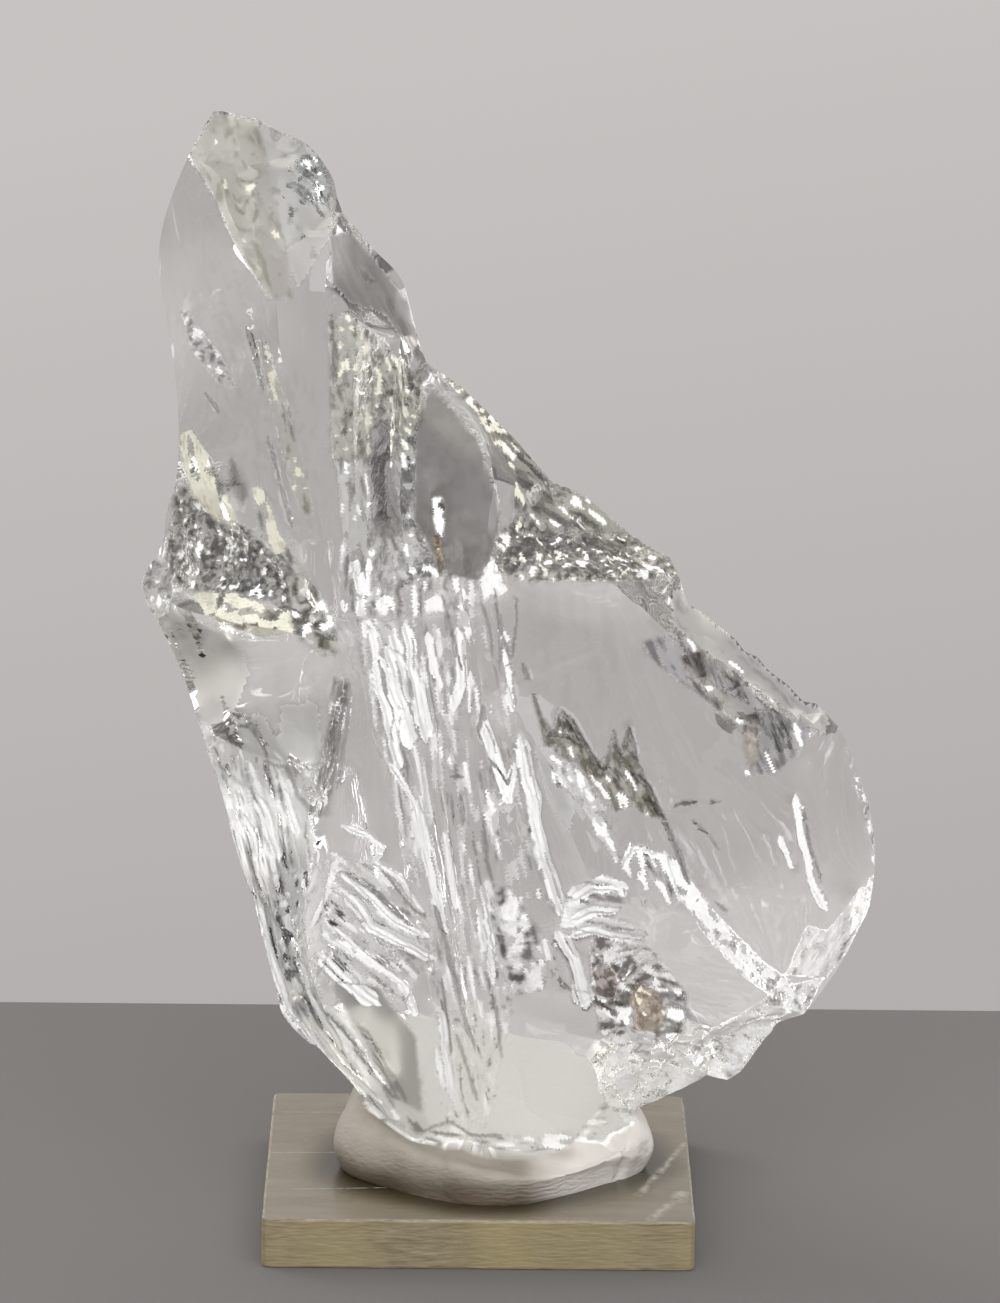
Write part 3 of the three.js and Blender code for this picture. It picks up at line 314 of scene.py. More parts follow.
         tint=(0.6, 0.6, 0.58), shade=(0.14, 0.14, 0.13), grain=0.3, fade=0.5),
    Zone("vee left", [(-30, 62.5), (-27, 62), (-24.5, 58.5), (-21.5, 57), (-19.5, 57.5), (-19, 53),
         (-22, 51.5), (-25, 54.5), (-28, 58.5)], ridges=[(0.9, 0.1)], way=60, reach=6, mark=0.45, frost=0.55,
         white=0.08, dark=0.25, tint=(0.66, 0.66, 0.63), shade=(0.2, 0.2, 0.18), grain=0.4, fade=0.8),
    Zone("vee middle", [(-24, 64), (-19, 65), (-18.5, 57), (-21.5, 57), (-24, 58.5)], edge=0.6, mark=0.8,
         frost=1.0, tint=(0.64, 0.635, 0.62), fade=1.6),
    Zone("flank window", [(-31, 60), (-26, 63), (-21, 56), (-20, 51.5), (-24, 52), (-29, 54)], edge=0.5,
         way=20, reach=3, mark=0.8, frost=0.85, dark=0.08, tint=(0.56, 0.56, 0.55), shade=(0.35, 0.34, 0.32),
         fade=1.6),
    Zone("edge texture", [(-34, 60), (-32.5, 60.5), (-29, 55), (-26.5, 52), (-28.5, 51), (-31, 54)],
         ridges=[(0.8, 0.06)], way=60, reach=3, mark=0.45, frost=0.5, white=0.22, dark=0.1, grain=0.7),
    Zone("left flank", [(-33, 58), (-31.5, 59), (-25, 57), (-21, 54), (-19.5, 48), (-19, 38), (-19, 30),
         (-17, 22), (-25.5, 19.5), (-30, 33), (-33, 46)], ridges=[(1.3, 0.12), (0.6, 0.05)], way=14, reach=5,
         curl=0.5, frost=0.92, white=0.1, dark=0.1, tint=(0.78, 0.78, 0.775), shade=(0.3, 0.3, 0.3),
         grain=0.6),
    Zone("feather", [(-25, 43), (-19, 45), (-17, 38), (-19, 30), (-22, 24), (-24, 32)], way=-22, reach=9,
         frost=0.75, white=0.12, dark=0.06, shade=(0.4, 0.4, 0.4), grain=0.5, fade=1.6),
    Zone("swirls", [(-18, 47), (-12, 45), (-6, 39), (-6, 34), (-9, 28), (-14, 30), (-19, 36)],
         ridges=[(1.4, 0.1)], way=52, reach=5, mark=0.55, curl=0.7, frost=0.4, white=0.2, dark=0.08,
         shade=(0.3, 0.28, 0.24), grain=0.5),
    Zone("heel", [(-23, 27), (-20, 29), (-15, 26), (-9, 18.5), (-5, 11.5), (-8, 9), (-14, 13.5),
         (-19.5, 20)], ridges=[(1.2, 0.1), (0.6, 0.04)], way=41, reach=12, mark=0.42, frost=0.85, white=0.16,
         dark=0.16, tint=(0.78, 0.785, 0.775), shade=(0.14, 0.14, 0.13), grain=0.5),
    Zone("heel window", [(-18, 30.5), (-12, 30), (-7.5, 24), (-6.5, 14), (-10, 16), (-14, 23)], edge=0.6,
         way=35, reach=8, mark=0.8, frost=1.0, dark=0.06, tint=(0.42, 0.41, 0.4), shade=(0.4, 0.4, 0.39),
         fade=0.6),
    Zone("stalks", [(-5, 34), (1, 36), (4, 30), (2, 16), (0, 11), (-4, 11), (-5.5, 22)], way=9, reach=10,
         mark=0.4, frost=0.45, white=0.16, dark=0.06, shade=(0.14, 0.14, 0.13), grain=0.4),
    Zone("sill", [(-7, 11.5), (-4, 13), (4, 11.5), (12, 12), (15, 16), (16, 13), (12, 9), (2, 8), (-7, 9)],
         way=80, reach=4, mark=0.6, frost=0.5, white=0.34, dark=0.12, shade=(0.2, 0.2, 0.2), grain=0.6),
    Zone("back column", [(-19, 80), (-4, 80), (-4, 56), (1, 25), (-12, 25), (-20, 56)], sheet=BACK, edge=0.7,
         ridges=[(2.4, 0.14)], way=6, reach=8, mark=1.5, grain=0.3, fade=2),
    Zone("back ledge", [(-38, 88), (-30, 90), (-20, 80), (-20, 72), (-38, 73)], sheet=BACK, edge=0.6,
         chips=[(2.2, 0.15)], mark=1.5, grain=0.4),
]

# Places where the sheet between facets runs over softly
CALM = [
    Zone("slope", [(9, 66), (16, 66), (24, 64), (32, 61), (41, 52), (44, 40), (38, 33), (30, 36), (23, 42),
         (17, 46), (12, 52)]),
    Zone("back slope", [(2, 60), (14, 68), (24, 62), (38, 54), (45, 44), (41, 32), (28, 27), (8, 30),
         (0, 42)], sheet=BACK),
]
CALM_ROUNDS = 50

# Flat facets that the smoothing leaves alone
HELD = [
    Zone("shoulder", [(-18, 118), (-15, 119), (-8, 108), (-6, 101), (-10, 101), (-14, 108)]),
    Zone("dark leaf", [(-8, 98), (-4, 100), (3, 91), (2, 80), (-5, 80), (-8, 87)]),
]


@dataclass
class Furrows:
    """Furrows drawn on the front sheet along given paths, and what they look like."""
    paths: list       # the width and the (x, z) places of each
    furrow: float     # width of one furrow in a wide one
    deep: float       # its depth per width
    frost: float = 0  # how white its walls are bruised and painted, as highlight
    rim: float = 0    # how dark its two edges are painted, as painted shade
    core: float = 0   # how dark its middle is painted, as painted shade


BLADES = Furrows(furrow=0.8, deep=0.38, frost=1.0, rim=0.36, paths=[
    (0.9, [(-15, 81.5), (-14.5, 77.5)]), (0.9, [(-13.5, 81.5), (-13.5, 77.5)]),
    (1.3, [(-13, 74), (-11.5, 64.5), (-9.5, 57.5)]), (2.2, [(-11, 71.5), (-9.5, 65), (-8.5, 60)]),
    (1.5, [(-9, 74.5), (-8, 67), (-6.5, 61)]), (1.0, [(-6.5, 73.5), (-6, 70.5), (-5, 67)]),
    (1.2, [(-3, 74), (-2.5, 68), (-3.5, 64.5)]), (0.9, [(-1.5, 69), (-1.5, 64.5)]),
    (0.9, [(-11, 58), (-8, 54), (-5.5, 43), (-4, 37.5)]), (0.9, [(-4.5, 50), (-3.5, 44.5), (-3, 40.5)]),
    (0.9, [(2.5, 73.5), (3, 68.5), (3.5, 64.5)]),
    (1.2, [(-0.5, 63.5), (1.5, 58.5), (3, 54), (3.5, 57.5), (4.5, 61.5)]),
    (1.6, [(4.5, 61.5), (5.5, 56.5), (6.5, 50), (8, 44.5), (10, 40)]),
    (1.6, [(10.5, 42), (13, 43.5), (15.5, 43.5)]), (1.6, [(10.5, 39.5), (13, 40.5), (16, 41)]),
    (1.4, [(10.5, 37.5), (13, 38), (18, 37)]), (2.0, [(9, 38), (11, 34.5), (12.5, 28.5)]),
    (1.0, [(-4.5, 27.5), (-4, 22), (-3.5, 16.5)]), (0.9, [(0, 44), (1, 38.5), (1.5, 31.5)]),
    (1.0, [(16.5, 46.5), (17.5, 48), (19, 48), (21.5, 47), (22.5, 44)]),
    (0.9, [(37, 52.5), (38, 47), (39.5, 41), (41, 38.5)]), (0.8, [(35, 48), (36, 45.5), (37, 43)]),
])
RIBBONS = Furrows(furrow=0.8, deep=0.3, frost=1.0, rim=0.4, paths=[
    (0.8, [(-16.5, 50), (-13.5, 49), (-11.5, 47.5), (-12.5, 45.5), (-9.5, 44), (-6.5, 39.5)]),
    (1.2, [(-16.5, 44.5), (-13.5, 41.5), (-10, 38.5), (-6, 37)]),
    (1.6, [(-16, 41.5), (-13, 37.5), (-9.5, 35.5), (-5.5, 34.5)]),
    (0.8, [(-18, 37.5), (-15.5, 35.5), (-12, 32.5), (-9, 30.5), (-7.5, 26.5)]),
    (1.9, [(-19, 34), (-16, 31), (-12, 28)]),
    (0.8, [(-21.5, 32.5), (-20.5, 28.5), (-18.5, 25.5), (-16.5, 22)]),
    (1.0, [(-28.5, 50), (-27, 47.5), (-26.5, 44.5)]), (1.3, [(-26.5, 52.5), (-25, 49), (-24, 45)]),
    (0.9, [(-23.5, 54), (-22.5, 50.5), (-21.5, 48)]),
    (0.7, [(-28, 40.5), (-26, 32.5), (-24, 26.5), (-21, 21.5)]),
    (0.9, [(-26.5, 39.5), (-24.5, 31.5), (-22.5, 25.5), (-17, 18), (-9, 10.5)]),
    (0.8, [(-22.5, 25), (-19, 20), (-14.5, 15.5), (-8.5, 11.5)]),
    (0.8, [(-20, 23.5), (-16.5, 19), (-11.5, 15.5)]), (0.7, [(-20, 37), (-18.5, 40.5), (-17, 46)]),
])
HAIRS = Furrows(furrow=0.6, deep=0.35, core=0.6, paths=[
    (0.6, [(-16.5, 67.5), (-18, 60.5), (-19, 53.5)]), (0.6, [(-16, 67), (-17, 60), (-18, 53)]),
    (0.5, [(-15.5, 67), (-16, 61), (-17, 54.5)]),
    (0.5, [(-29, 60.5), (-27, 61), (-25, 56.5), (-23, 56.5), (-21.5, 53), (-19.5, 51)]),
    (0.5, [(-16.5, 44.5), (-13.5, 42.3), (-10, 39.3), (-8, 38)]),
    (0.5, [(-14, 25), (-11.5, 20.5), (-9, 16)]), (0.5, [(-15, 23.5), (-12.5, 19), (-10, 15)]),
    (0.5, [(-0.5, 77.5), (0.5, 74.5), (1, 70.5)]), (0.5, [(2, 70), (2, 75.5)]),
    (0.5, [(21, 52), (23.5, 47), (24.5, 43)]), (0.5, [(22, 52.5), (23.5, 53), (28, 52.5)]),
    (0.4, [(24.5, 51), (26.5, 49), (28, 47)]), (0.5, [(-28, 107.5), (-27, 103.5), (-26, 100)]),
    (0.5, [(-23, 98.5), (-22.5, 95)]), (0.5, [(-25.5, 95), (-24, 89.5), (-22.5, 84.5)]),
    (0.5, [(-33, 99.5), (-32, 98), (-31, 96.5)]), (0.5, [(-15, 114), (-14, 112.5), (-13, 112)]),
    (0.5, [(-12, 110.5), (-10, 107), (-8, 103)]), (0.6, [(-5.5, 41), (-4, 35.5), (-2, 28), (-0.5, 22.5)]),
    (0.5, [(0, 65.5), (-0.5, 61)]),
])
DARKS = Furrows(furrow=0.6, deep=0.3, core=0.72, paths=[
    (0.6, [(4.5, 70), (5.5, 67), (6.7, 63.5), (8.3, 61.5)]),
    (0.7, [(8.3, 61.5), (8.9, 64.2), (10.5, 63), (12.3, 60), (14.2, 57)]),
    (0.6, [(14.5, 57.5), (15.3, 61.5), (16.1, 58.5), (17.1, 61.8), (18.3, 57.5)]),
    (0.8, [(17.5, 57), (19.3, 55), (20.6, 52.6)]), (0.45, [(20.5, 53), (22, 49.5), (24.3, 43.5)]),
    (0.45, [(27.5, 41.2), (29.5, 39.2)]), (0.4, [(-18.2, 112), (-17.8, 106), (-17.6, 101)]),
    (0.35, [(-5, 78), (-3.5, 73), (-2.5, 69)]),
    (0.3, [(1, 79), (1.8, 74), (3.2, 70.5), (3.8, 74.5), (3.6, 78)]),
    (0.4, [(-12, 45), (-9.5, 42), (-7.8, 40.2), (-6, 39.3)]),
    (0.5, [(-14, 43.6), (-11, 40.6), (-8.5, 38.3)]), (0.5, [(-2.8, 25), (-1.6, 21), (-0.2, 16.5)]),
    (0.4, [(-4.6, 32), (-4, 27), (-3.2, 22)]), (0.4, [(0.6, 33), (1.8, 28), (2.6, 22)]),
    (0.5, [(-14.5, 25.5), (-12, 20.5), (-9.6, 16)]), (0.4, [(-13, 24), (-11, 20), (-8.4, 15.5)]),
    (0.4, [(-24.5, 40), (-22.5, 32), (-20, 26), (-15, 19)]),
    (0.5, [(-6.5, 12), (-3.5, 13.2), (-1, 11.8), (3, 11.6)]),
    (0.35, [(0.6, 58.9), (1.6, 57.6), (3, 55.6), (3.4, 57.5)]), (0.5, [(-4, 56.6), (-2, 56.6)]),
    (0.45, [(-3.7, 54.5), (-3.4, 51)]), (0.45, [(-2.6, 54.5), (-2.2, 51)]),
    (0.4, [(-29.5, 61), (-27.2, 60.5), (-25, 57)]), (0.45, [(38, 50.5), (38.8, 46), (40.4, 41.5)]),
])
LINES = (BLADES, RIBBONS, HAIRS, DARKS)
LINE_SIZE = 0.27    # edge length beside a furrow
LINE_MARGIN = 0.35  # how far the fine mesh runs past it
LINE_TAPER = 1.8    # a furrow grows to full depth over this length
LINE_BLUNT = 0.6    # and begins this far along that growth
FIBRE = 0.35        # width of the fibres in a furrow's bruise painted as highlight
FIBRE_REACH = 9     # how many times longer than wide they are
FIBRE_COVER = 1.5   # the more, the fewer gaps there are between them
FIBRE_CONTRAST = 2.2
THINNEST = 1e-3     # half the width of a furrow's very end
WAVER_WIDTH = 0.35  # share by which a furrow's width wavers
WAVER_ASIDE = 0.2   # and its course, in widths
WAVER_LENGTH = 5
WAVER_SEEDS = (11, 12)
LINE_SHIFT = 1.7    # from one furrow's place in the noise to the next one's
RIPPLE_LENGTH = 7   # of the small furrows in a wide one
RIPPLE_BEND = 0.3
# Across a furrow, in half widths: where its floor begins to rise and where it ends, where its
# bruise painted as highlight begins to fade and ends, and where its dark edge of painted shade
# lies and how wide it is
FLOOR = (0.75, 1.25)
BRUISE_HIGHLIGHT = (0.95, 1.15)
RIM = (1.15, 0.3)


def hash01(*keys):
    """The same numbers from 0 to 1 for the same whole numbers, every run."""
    h = np.full(np.shape(keys[0]), HASH_START, np.uint32)
    for key in keys:
        h = (h ^ (np.asarray(key, np.int64) & 0xFFFFFFFF).astype(np.uint32)) * np.uint32(HASH_PRIME)
        h ^= h >> np.uint32(15)
    return h / 2.0**32


def noise(places, seed):
    """Smooth noise from -1 to 1, one lump per unit, at rows of two or three coordinates."""
    cell = np.floor(places).astype(np.int64)
    part = places - cell
    part = part * part * (3 - 2 * part)
    total = np.zeros(len(places))
    for corner in np.ndindex(*(2,) * places.shape[1]):
        weight = np.prod(np.where(corner, part, 1 - part), axis=1)
        total += weight * hash01(*(cell + corner).T, seed)
    return 2 * total - 1


def noises(places, seed):
    """Three noises side by side, to bend places with."""
    return np.stack([noise(places, seed + k) for k in range(3)], axis=1)


def nearest_seed(places, seed):
    """The distance to the nearest of the seeds scattered one to each unit cube."""
    cell = np.floor(places).astype(np.int64)
    best = np.full(len(places), FAR)
    for step in np.ndindex(3, 3, 3):
        near = cell + step - 1
        spot = near + np.stack([hash01(*near.T, seed + k) for k in range(3)], axis=1)
        best = np.minimum(best, ((places - spot) ** 2).sum(1))
    return np.sqrt(best)


def ease(t):
    """0 below 0, 1 above 1, and a soft rise between them."""
    t = np.clip(t, 0, 1)
    return t * t * (3 - 2 * t)


def fades(value, full, none):
    """1 up to the full value, 0 from the none value on, and a soft fall between them."""
    return ease((none - value) / (none - full))


def mesh_arrays(obj):
    """The vertices, in mm, and triangles of a node, with vertices at one place merged."""
    mesh = obj.data
    co = np.array([v.co for v in mesh.vertices], float) / MM
    mesh.calc_loop_triangles()
    tris = np.array([t.vertices for t in mesh.loop_triangles], int)
    keys = np.round(co * MERGE_STEPS).astype(np.int64)
    _, first, inverse = np.unique(keys, axis=0, return_index=True, return_inverse=True)
    tris = inverse.ravel()[tris]
    good = (tris != np.roll(tris, 1, axis=1)).all(1)
    return co[first], tris[good]


def edge_table(tris):
    """Each edge once, the edge of every triangle side, and the two faces beside each edge."""
    sides = np.stack([tris, np.roll(tris, -1, axis=1)], axis=2).reshape(-1, 2)
    edges, index = np.unique(np.sort(sides, axis=1), axis=0, return_inverse=True)
    index = index.ravel()
    order = np.argsort(index, kind="stable")
    return edges, index.reshape(-1, 3), (order // 3).reshape(-1, 2)


def face_normals(co, tris):
    """Normals as long as twice the faces' areas."""
    a, b, c = co[tris.T]
    return np.cross(b - a, c - a)


def unit(v):
    return v / np.maximum(np.linalg.norm(v, axis=1, keepdims=True), TINY)


def vertex_normals(co, tris):
    faces = face_normals(co, tris)
    total = np.zeros_like(co)
    for side, axis in np.ndindex(3, 3):
        total[:, axis] += np.bincount(tris[:, side], weights=faces[:, axis], minlength=len(co))
    return unit(total)


def find_creases(co, tris, angle):
    """The edges whose faces turn by more than an angle."""
    edges, _, beside = edge_table(tris)
    n = unit(face_normals(co, tris))
    cosine = (n[beside[:, 0]] * n[beside[:, 1]]).sum(1)
    return edges[cosine < math.cos(angle)]


def is_crease(edges, creases):
    """Which of the edges are creases."""
    key, crease_key = (pairs[:, 0].astype(np.int64) << 32 | pairs[:, 1] for pairs in (edges, creases))
    return np.isin(key, crease_key)


def split_edges(co, tris, creases, size):
    """Cuts in two the edges that are too long for the size wanted at their ends."""
    edges, index, _ = edge_table(tris)
    length = np.linalg.norm(co[edges[:, 0]] - co[edges[:, 1]], axis=1)
    marked = length > LONG_EDGE * np.minimum(size[edges[:, 0]], size[edges[:, 1]])
    middle = np.full(len(edges), -1)
    middle[marked] = len(co) + np.arange(marked.sum())
    creased = is_crease(edges, creases)
    ends = edges[creased & marked]
    cut = middle[creased & marked]
    halves = [np.stack([ends[:, k], cut], axis=1) for k in (0, 1)]
    creases = np.sort(np.vstack([edges[creased & ~marked], *halves]), axis=1)
    co = np.vstack([co, (co[edges[marked, 0]] + co[edges[marked, 1]]) / 2])
    return co, cut_triangles(tris, middle[index]), creases


def split_evenly(co, tris, creases, edge, rounds):
    """Cuts the whole mesh until its edges are about one length."""
    for _ in range(rounds):
        co, tris, creases = split_edges(co, tris, creases, np.full(len(co), edge))
    return co, tris, creases


def cut_triangles(tris, middles):
    """Each triangle cut by the new points on its sides, of which there may be none."""
    count = (middles >= 0).sum(1)
    out = [tris[count == 0]]
    # turn each triangle so that its cut sides come first
    for n, first in ((1, middles >= 0), (2, middles < 0)):
        rows = count == n
        turn = np.argmax(first[rows], axis=1) + (n == 2)
        pick = (np.arange(3)[None] + turn[:, None]) % 3
        a, b, c = np.take_along_axis(tris[rows], pick, 1).T
        ab, bc, _ = np.take_along_axis(middles[rows], pick, 1).T
        if n == 1:
            out += [np.stack([a, ab, c], 1), np.stack([ab, b, c], 1)]
        else:
            out += [np.stack([ab, b, bc], 1), np.stack([a, ab, bc], 1), np.stack([a, bc, c], 1)]
    a, b, c = tris[count == 3].T
    ab, bc, ca = middles[count == 3].T
    out += [np.stack(t, 1) for t in ((a, ab, ca), (ab, b, bc), (ca, bc, c), (ab, bc, ca))]
    return np.vstack(out)


def both_ways(edges, count):
    """The edges from either end, and how many leave each point."""
    pairs = np.vstack([edges, edges[:, ::-1]])
    return pairs, np.bincount(pairs[:, 0], minlength=count)


def sum_to(pairs, co, count):
    """For each point, the sum of the points that its pairs lead to."""
    return np.stack([np.bincount(pairs[:, 0], weights=co[pairs[:, 1], k], minlength=count)
                     for k in range(3)], axis=1)


def calm(co, tris):
    """Rounds off the facets' meetings in the calm places."""
    pairs, valence = both_ways(edge_table(tris)[0], len(co))
    share = strongest(CALM, co, tris)
    rows = np.flatnonzero(share > 0)
    near = np.full(len(co), -1)
    near[rows] = np.arange(len(rows))
    pairs = pairs[share[pairs[:, 0]] > 0]
    pairs = np.column_stack([near[pairs[:, 0]], pairs[:, 1]])
    for _ in range(CALM_ROUNDS):
        mean = sum_to(pairs, co, len(rows)) / valence[rows, None]
        co[rows] += share[rows, None] * (mean - co[rows])
    return co


def smooth(co, tris, creases, rounds):
    """Evens out the facets. Crease points move only along their crease, and forks in it stay."""
    count = len(co)
    pairs, valence = both_ways(edge_table(tris)[0], count)
    crease_pairs, crease_valence = both_ways(creases, count)
    held = strongest(HELD, co, tris)
    free = np.where(crease_valence == 0, 1 - held, 0)[:, None]
    along = np.where(crease_valence == 2, CREASE_PACE * (1 - held), 0)[:, None]
    for _ in range(rounds):
        mean = sum_to(pairs, co, count) / valence[:, None]
        crease_mean = sum_to(crease_pairs, co, count) / np.maximum(crease_valence, 1)[:, None]
        co = co + free * (mean - co) + along * (crease_mean - co)
    return co


def strongest(zones, co, tris):
    """The weight of the zone that is strongest at each point."""
    normals = vertex_normals(co, tris)
    return np.max([zone_weight(zone, co, normals) for zone in zones], axis=0)


# ---------------------------------------------------------------- zones on the shard's two sheets

def on_sheet(sheet, normals):
    """1 on a sheet, 0 on the other, and a soft turn on the rim between them."""
    return ease(0.5 + RIM_TURN * sheet * normals[:, 1])


def zone_weight(zone, co, normals):
    """1 well inside a zone's outline on its own sheet, 0 outside it."""
    x, _, z = co.T
    inside = np.zeros(len(co), bool)
    away = np.full(len(co), FAR)
    outline = np.array(zone.outline, float)
    for (x0, z0), (x1, z1) in zip(outline, np.roll(outline, -1, axis=0)):
        crosses = (z0 > z) != (z1 > z)
        inside ^= crosses & (x < (x1 - x0) * (z - z0) / (z1 - z0 + TINY) + x0)
        part = np.clip(((x - x0) * (x1 - x0) + (z - z0) * (z1 - z0)) / ((x1 - x0)**2 + (z1 - z0)**2), 0, 1)
        away = np.minimum(away, np.hypot(x - x0 - part * (x1 - x0), z - z0 - part * (z1 - z0)))
    return ease(FADE_OUTSIDE + np.where(inside, away, -away) / zone.fade) * on_sheet(zone.sheet, normals)


def run_of(zone, co):
    """How far each place is across the zone's run and how far along it, with the depth between."""
    lean = math.radians(zone.way)
    x, y, z = co.T
    across = x * math.cos(lean) + z * math.sin(lean)
    along = x * math.sin(lean) - z * math.cos(lean)
    return np.stack([across, y, along], axis=1)


def relief(zone, co):
    """Shallow scoops that meet in sharp ridges, and long ridges side by side."""
    total = np.zeros(len(co))
    for rank, (size, depth) in enumerate(zone.chips):
        places = co / size
        places = places + CHIP_BEND * noises(places * CHIP_BEND_SCALE, CHIP_BEND_SEED)
        height = CHIP_RISE * nearest_seed(places, CHIP_SEED + CHIP_SEED_STEP * rank) ** 2
        total += depth * (height - CHIP_LEVEL)
    for rank, (size, depth) in enumerate(zone.ridges):
        places = run_of(zone, co)[:, (0, 2)] / (size, size * zone.reach)
        places[:, 0] += RIDGE_BEND * noise(places * RIDGE_BEND_SCALE, RIDGE_BEND_SEED + rank)
        total += depth * (1 - 2 * np.abs(noise(places, RIDGE_SEED + rank)))
    return total


def mark_noise(zone, co, seed):
    """Streaks or curls in the zone's run, spread evenly about 0."""
    places = run_of(zone, co) / (zone.mark, zone.mark, zone.mark * zone.reach)
    if zone.curl:
        places = places + zone.curl * noises(places * CURL_SCALE, seed + SEED_STEP)
    coarse = noise(places, seed)
    fine = noise(places * FINE_SCALE, seed + 1)
    return ((1 - FINE_SHARE) * coarse + FINE_SHARE * fine) / MARK_SPREAD


def marked(height, share):
    """1 in the given share of the places, 0 elsewhere."""
    if share in (0, 1):
        return np.full(len(height), float(share))
    return np.clip(0.5 + MARK_EDGE * (height - LOGISTIC * math.log((1 - share) / share)), 0, 1)


def blend_tint(marks, rows, share, tint):
    """Moves the tint of some points towards another by a share."""
    marks["tint"][rows] += share[:, None] * (np.array(tint) - marks["tint"][rows])


def mark_zone(zone, weight, co, marks):
    """Lays the zone's tint, painted shade, bruises painted as highlights and frost over what is there."""
    rows = np.flatnonzero(weight > 0)
    share = weight[rows]
    places = co[rows]
    blend_tint(marks, rows, share, zone.tint)
    # painted shade: dark marks beside the white ones
    beside_white = marked(-mark_noise(zone, places, MARK_SEEDS["white"]), zone.dark)
    blend_tint(marks, rows, share * beside_white, zone.shade)
    for kind, seed in MARK_SEEDS.items():
        found = marked(mark_noise(zone, places, seed), getattr(zone, kind))
        marks[kind][rows] += share * (found - marks[kind][rows])
    marks["grain"][rows] = np.maximum(marks["grain"][rows], share * zone.grain)
    strong = share > STRONG
    marks["flow"][rows[strong]] = (run_of(zone, places) / (1, 1, zone.reach))[strong]


def along_path(path, x, z):
    """How far each place is to the left of a path, how far along it, and the path's length."""
    best = np.full(len(x), FAR)
    aside = np.zeros(len(x))
    along = np.zeros(len(x))
    start = 0.0
    for (x0, z0), (x1, z1) in zip(path, path[1:]):
        length = math.hypot(x1 - x0, z1 - z0)
        ux = (x1 - x0) / length
        uz = (z1 - z0) / length
        part = np.clip((x - x0) * ux + (z - z0) * uz, 0, length)
        dx = x - x0 - part * ux
        dz = z - z0 - part * uz
        away = np.hypot(dx, dz)
        near = away < best
        best[near] = away[near]
        aside[near] = np.copysign(away, ux * dz - uz * dx)[near]
        along[near] = (start + part)[near]
        start += length
    return aside, along, start


def line_rows(co, width, path):
    """The points that may lie in a furrow: those in the box round its path."""
    spots = np.array(path)
    margin = width / 2 + LINE_MARGIN
    flat = co[:, (0, 2)]
    return np.flatnonzero(((flat > spots.min(0) - margin) & (flat < spots.max(0) + margin)).all(1))


def furrow(group, width, path, co, seed):
    """The share of a furrow at each point, its depth there, and how white and how dark it is."""
    aside, along, length = along_path(path, co[:, 0], co[:, 2])
    wave = np.stack([along / WAVER_LENGTH, np.full(len(co), seed * LINE_SHIFT)], axis=1)
    ends = ease((np.minimum(along, length - along) + LINE_BLUNT) / LINE_TAPER)
    half = width / 2 * (1 + WAVER_WIDTH * noise(wave, WAVER_SEEDS[0])) * ends
    aside = aside + WAVER_ASIDE * width * noise(wave * 2, WAVER_SEEDS[1])
    across = np.abs(aside) / np.maximum(half, THINNEST)
    share = fades(across, *FLOOR)
    count = max(1.0, width / group.furrow)
    ripple = np.stack([aside / width * count, along / RIPPLE_LENGTH], axis=1)
    # 1 along the floors of the small furrows, -1 along the ridges between them
    floor = 1 - 4 * np.abs((ripple[:, 0] + RIPPLE_BEND * noise(ripple, seed)) % 1 - 0.5)
    fibre = noise(np.stack([aside / FIBRE, along / (FIBRE_REACH * FIBRE)], axis=1), seed + SEED_STEP)
    white = group.frost * fades(across, *BRUISE_HIGHLIGHT) * ease(FIBRE_COVER + FIBRE_CONTRAST * fibre)
    rim_place, rim_wide = RIM
    dark = group.rim * fades(np.abs(across - rim_place), 0, rim_wide) + group.core * share
    return share, -group.deep * width / count * (0.5 + 0.5 * floor), white, dark


def line_fields(co, normals):
    """For each drawn furrow the rows of points in it, and what it does to them."""
    front = on_sheet(FRONT, normals)
    for rank, group in enumerate(LINES):
        for number, (width, path) in enumerate(group.paths):
            rows = line_rows(co, width, path)
            share, depth, white, dark = furrow(group, width, path, co[rows], 100 * rank + number)
            yield rows, share * front[rows], depth, white * front[rows], dark * front[rows]


def wanted_size(co, normals):
    """The edge length wanted at each point: fine where a zone or a furrow breaks the surface up."""
    size = np.full(len(co), COARSE)
    for zone in ZONES:
        weight = zone_weight(zone, co, normals)
        size = np.minimum(size, COARSE + (zone.edge - COARSE) * ease(2 * weight))
    for rows, share, *_ in line_fields(co, normals):
        size[rows[share > 0]] = LINE_SIZE
    return size


def sculpt(co, tris):
    """Pushes every point out or in by the relief of the zones and furrows it lies in.

    Also gives every point's marks: its frost, its white and cream bruises painted as highlights, its
    tint with painted shade, how rough it is, and its place in its zone's run."""
    normals = vertex_normals(co, tris)
    out = np.zeros(len(co))
    marks = {kind: np.zeros(len(co)) for kind in ("frost", "white", "cream", "grain")}
    marks["tint"] = np.tile(CLEAR_TINT, (len(co), 1))
    marks["flow"] = co.copy()
    for zone in ZONES:
        weight = zone_weight(zone, co, normals)
        rows = weight > 0
        out[rows] += weight[rows] * relief(zone, co[rows])
        mark_zone(zone, weight, co, marks)
    for rows, share, depth, white, dark in line_fields(co, normals):
        out[rows] += share * depth
        # painted shade on the furrows' edges and middles, and their bruises painted as highlight
        blend_tint(marks, rows, dark, SHADE)
        clear = 1 - np.clip(2 * dark, 0, 1)
        marks["white"][rows] = np.maximum(marks["white"][rows] * clear, white)
    return co + normals * out[:, None], marks


def material_slots(tris, marks):
    """The slot of each face: clear or frosted glass, or bruised and painted white or cream as highlight."""
    slot = np.zeros(len(tris), int)
    for kind, number in (("frost", FROST_SLOT), ("cream", CREAM_SLOT), ("white", WHITE_SLOT)):
        slot[marks[kind][tris].mean(axis=1) > 0.5] = number
    return slot


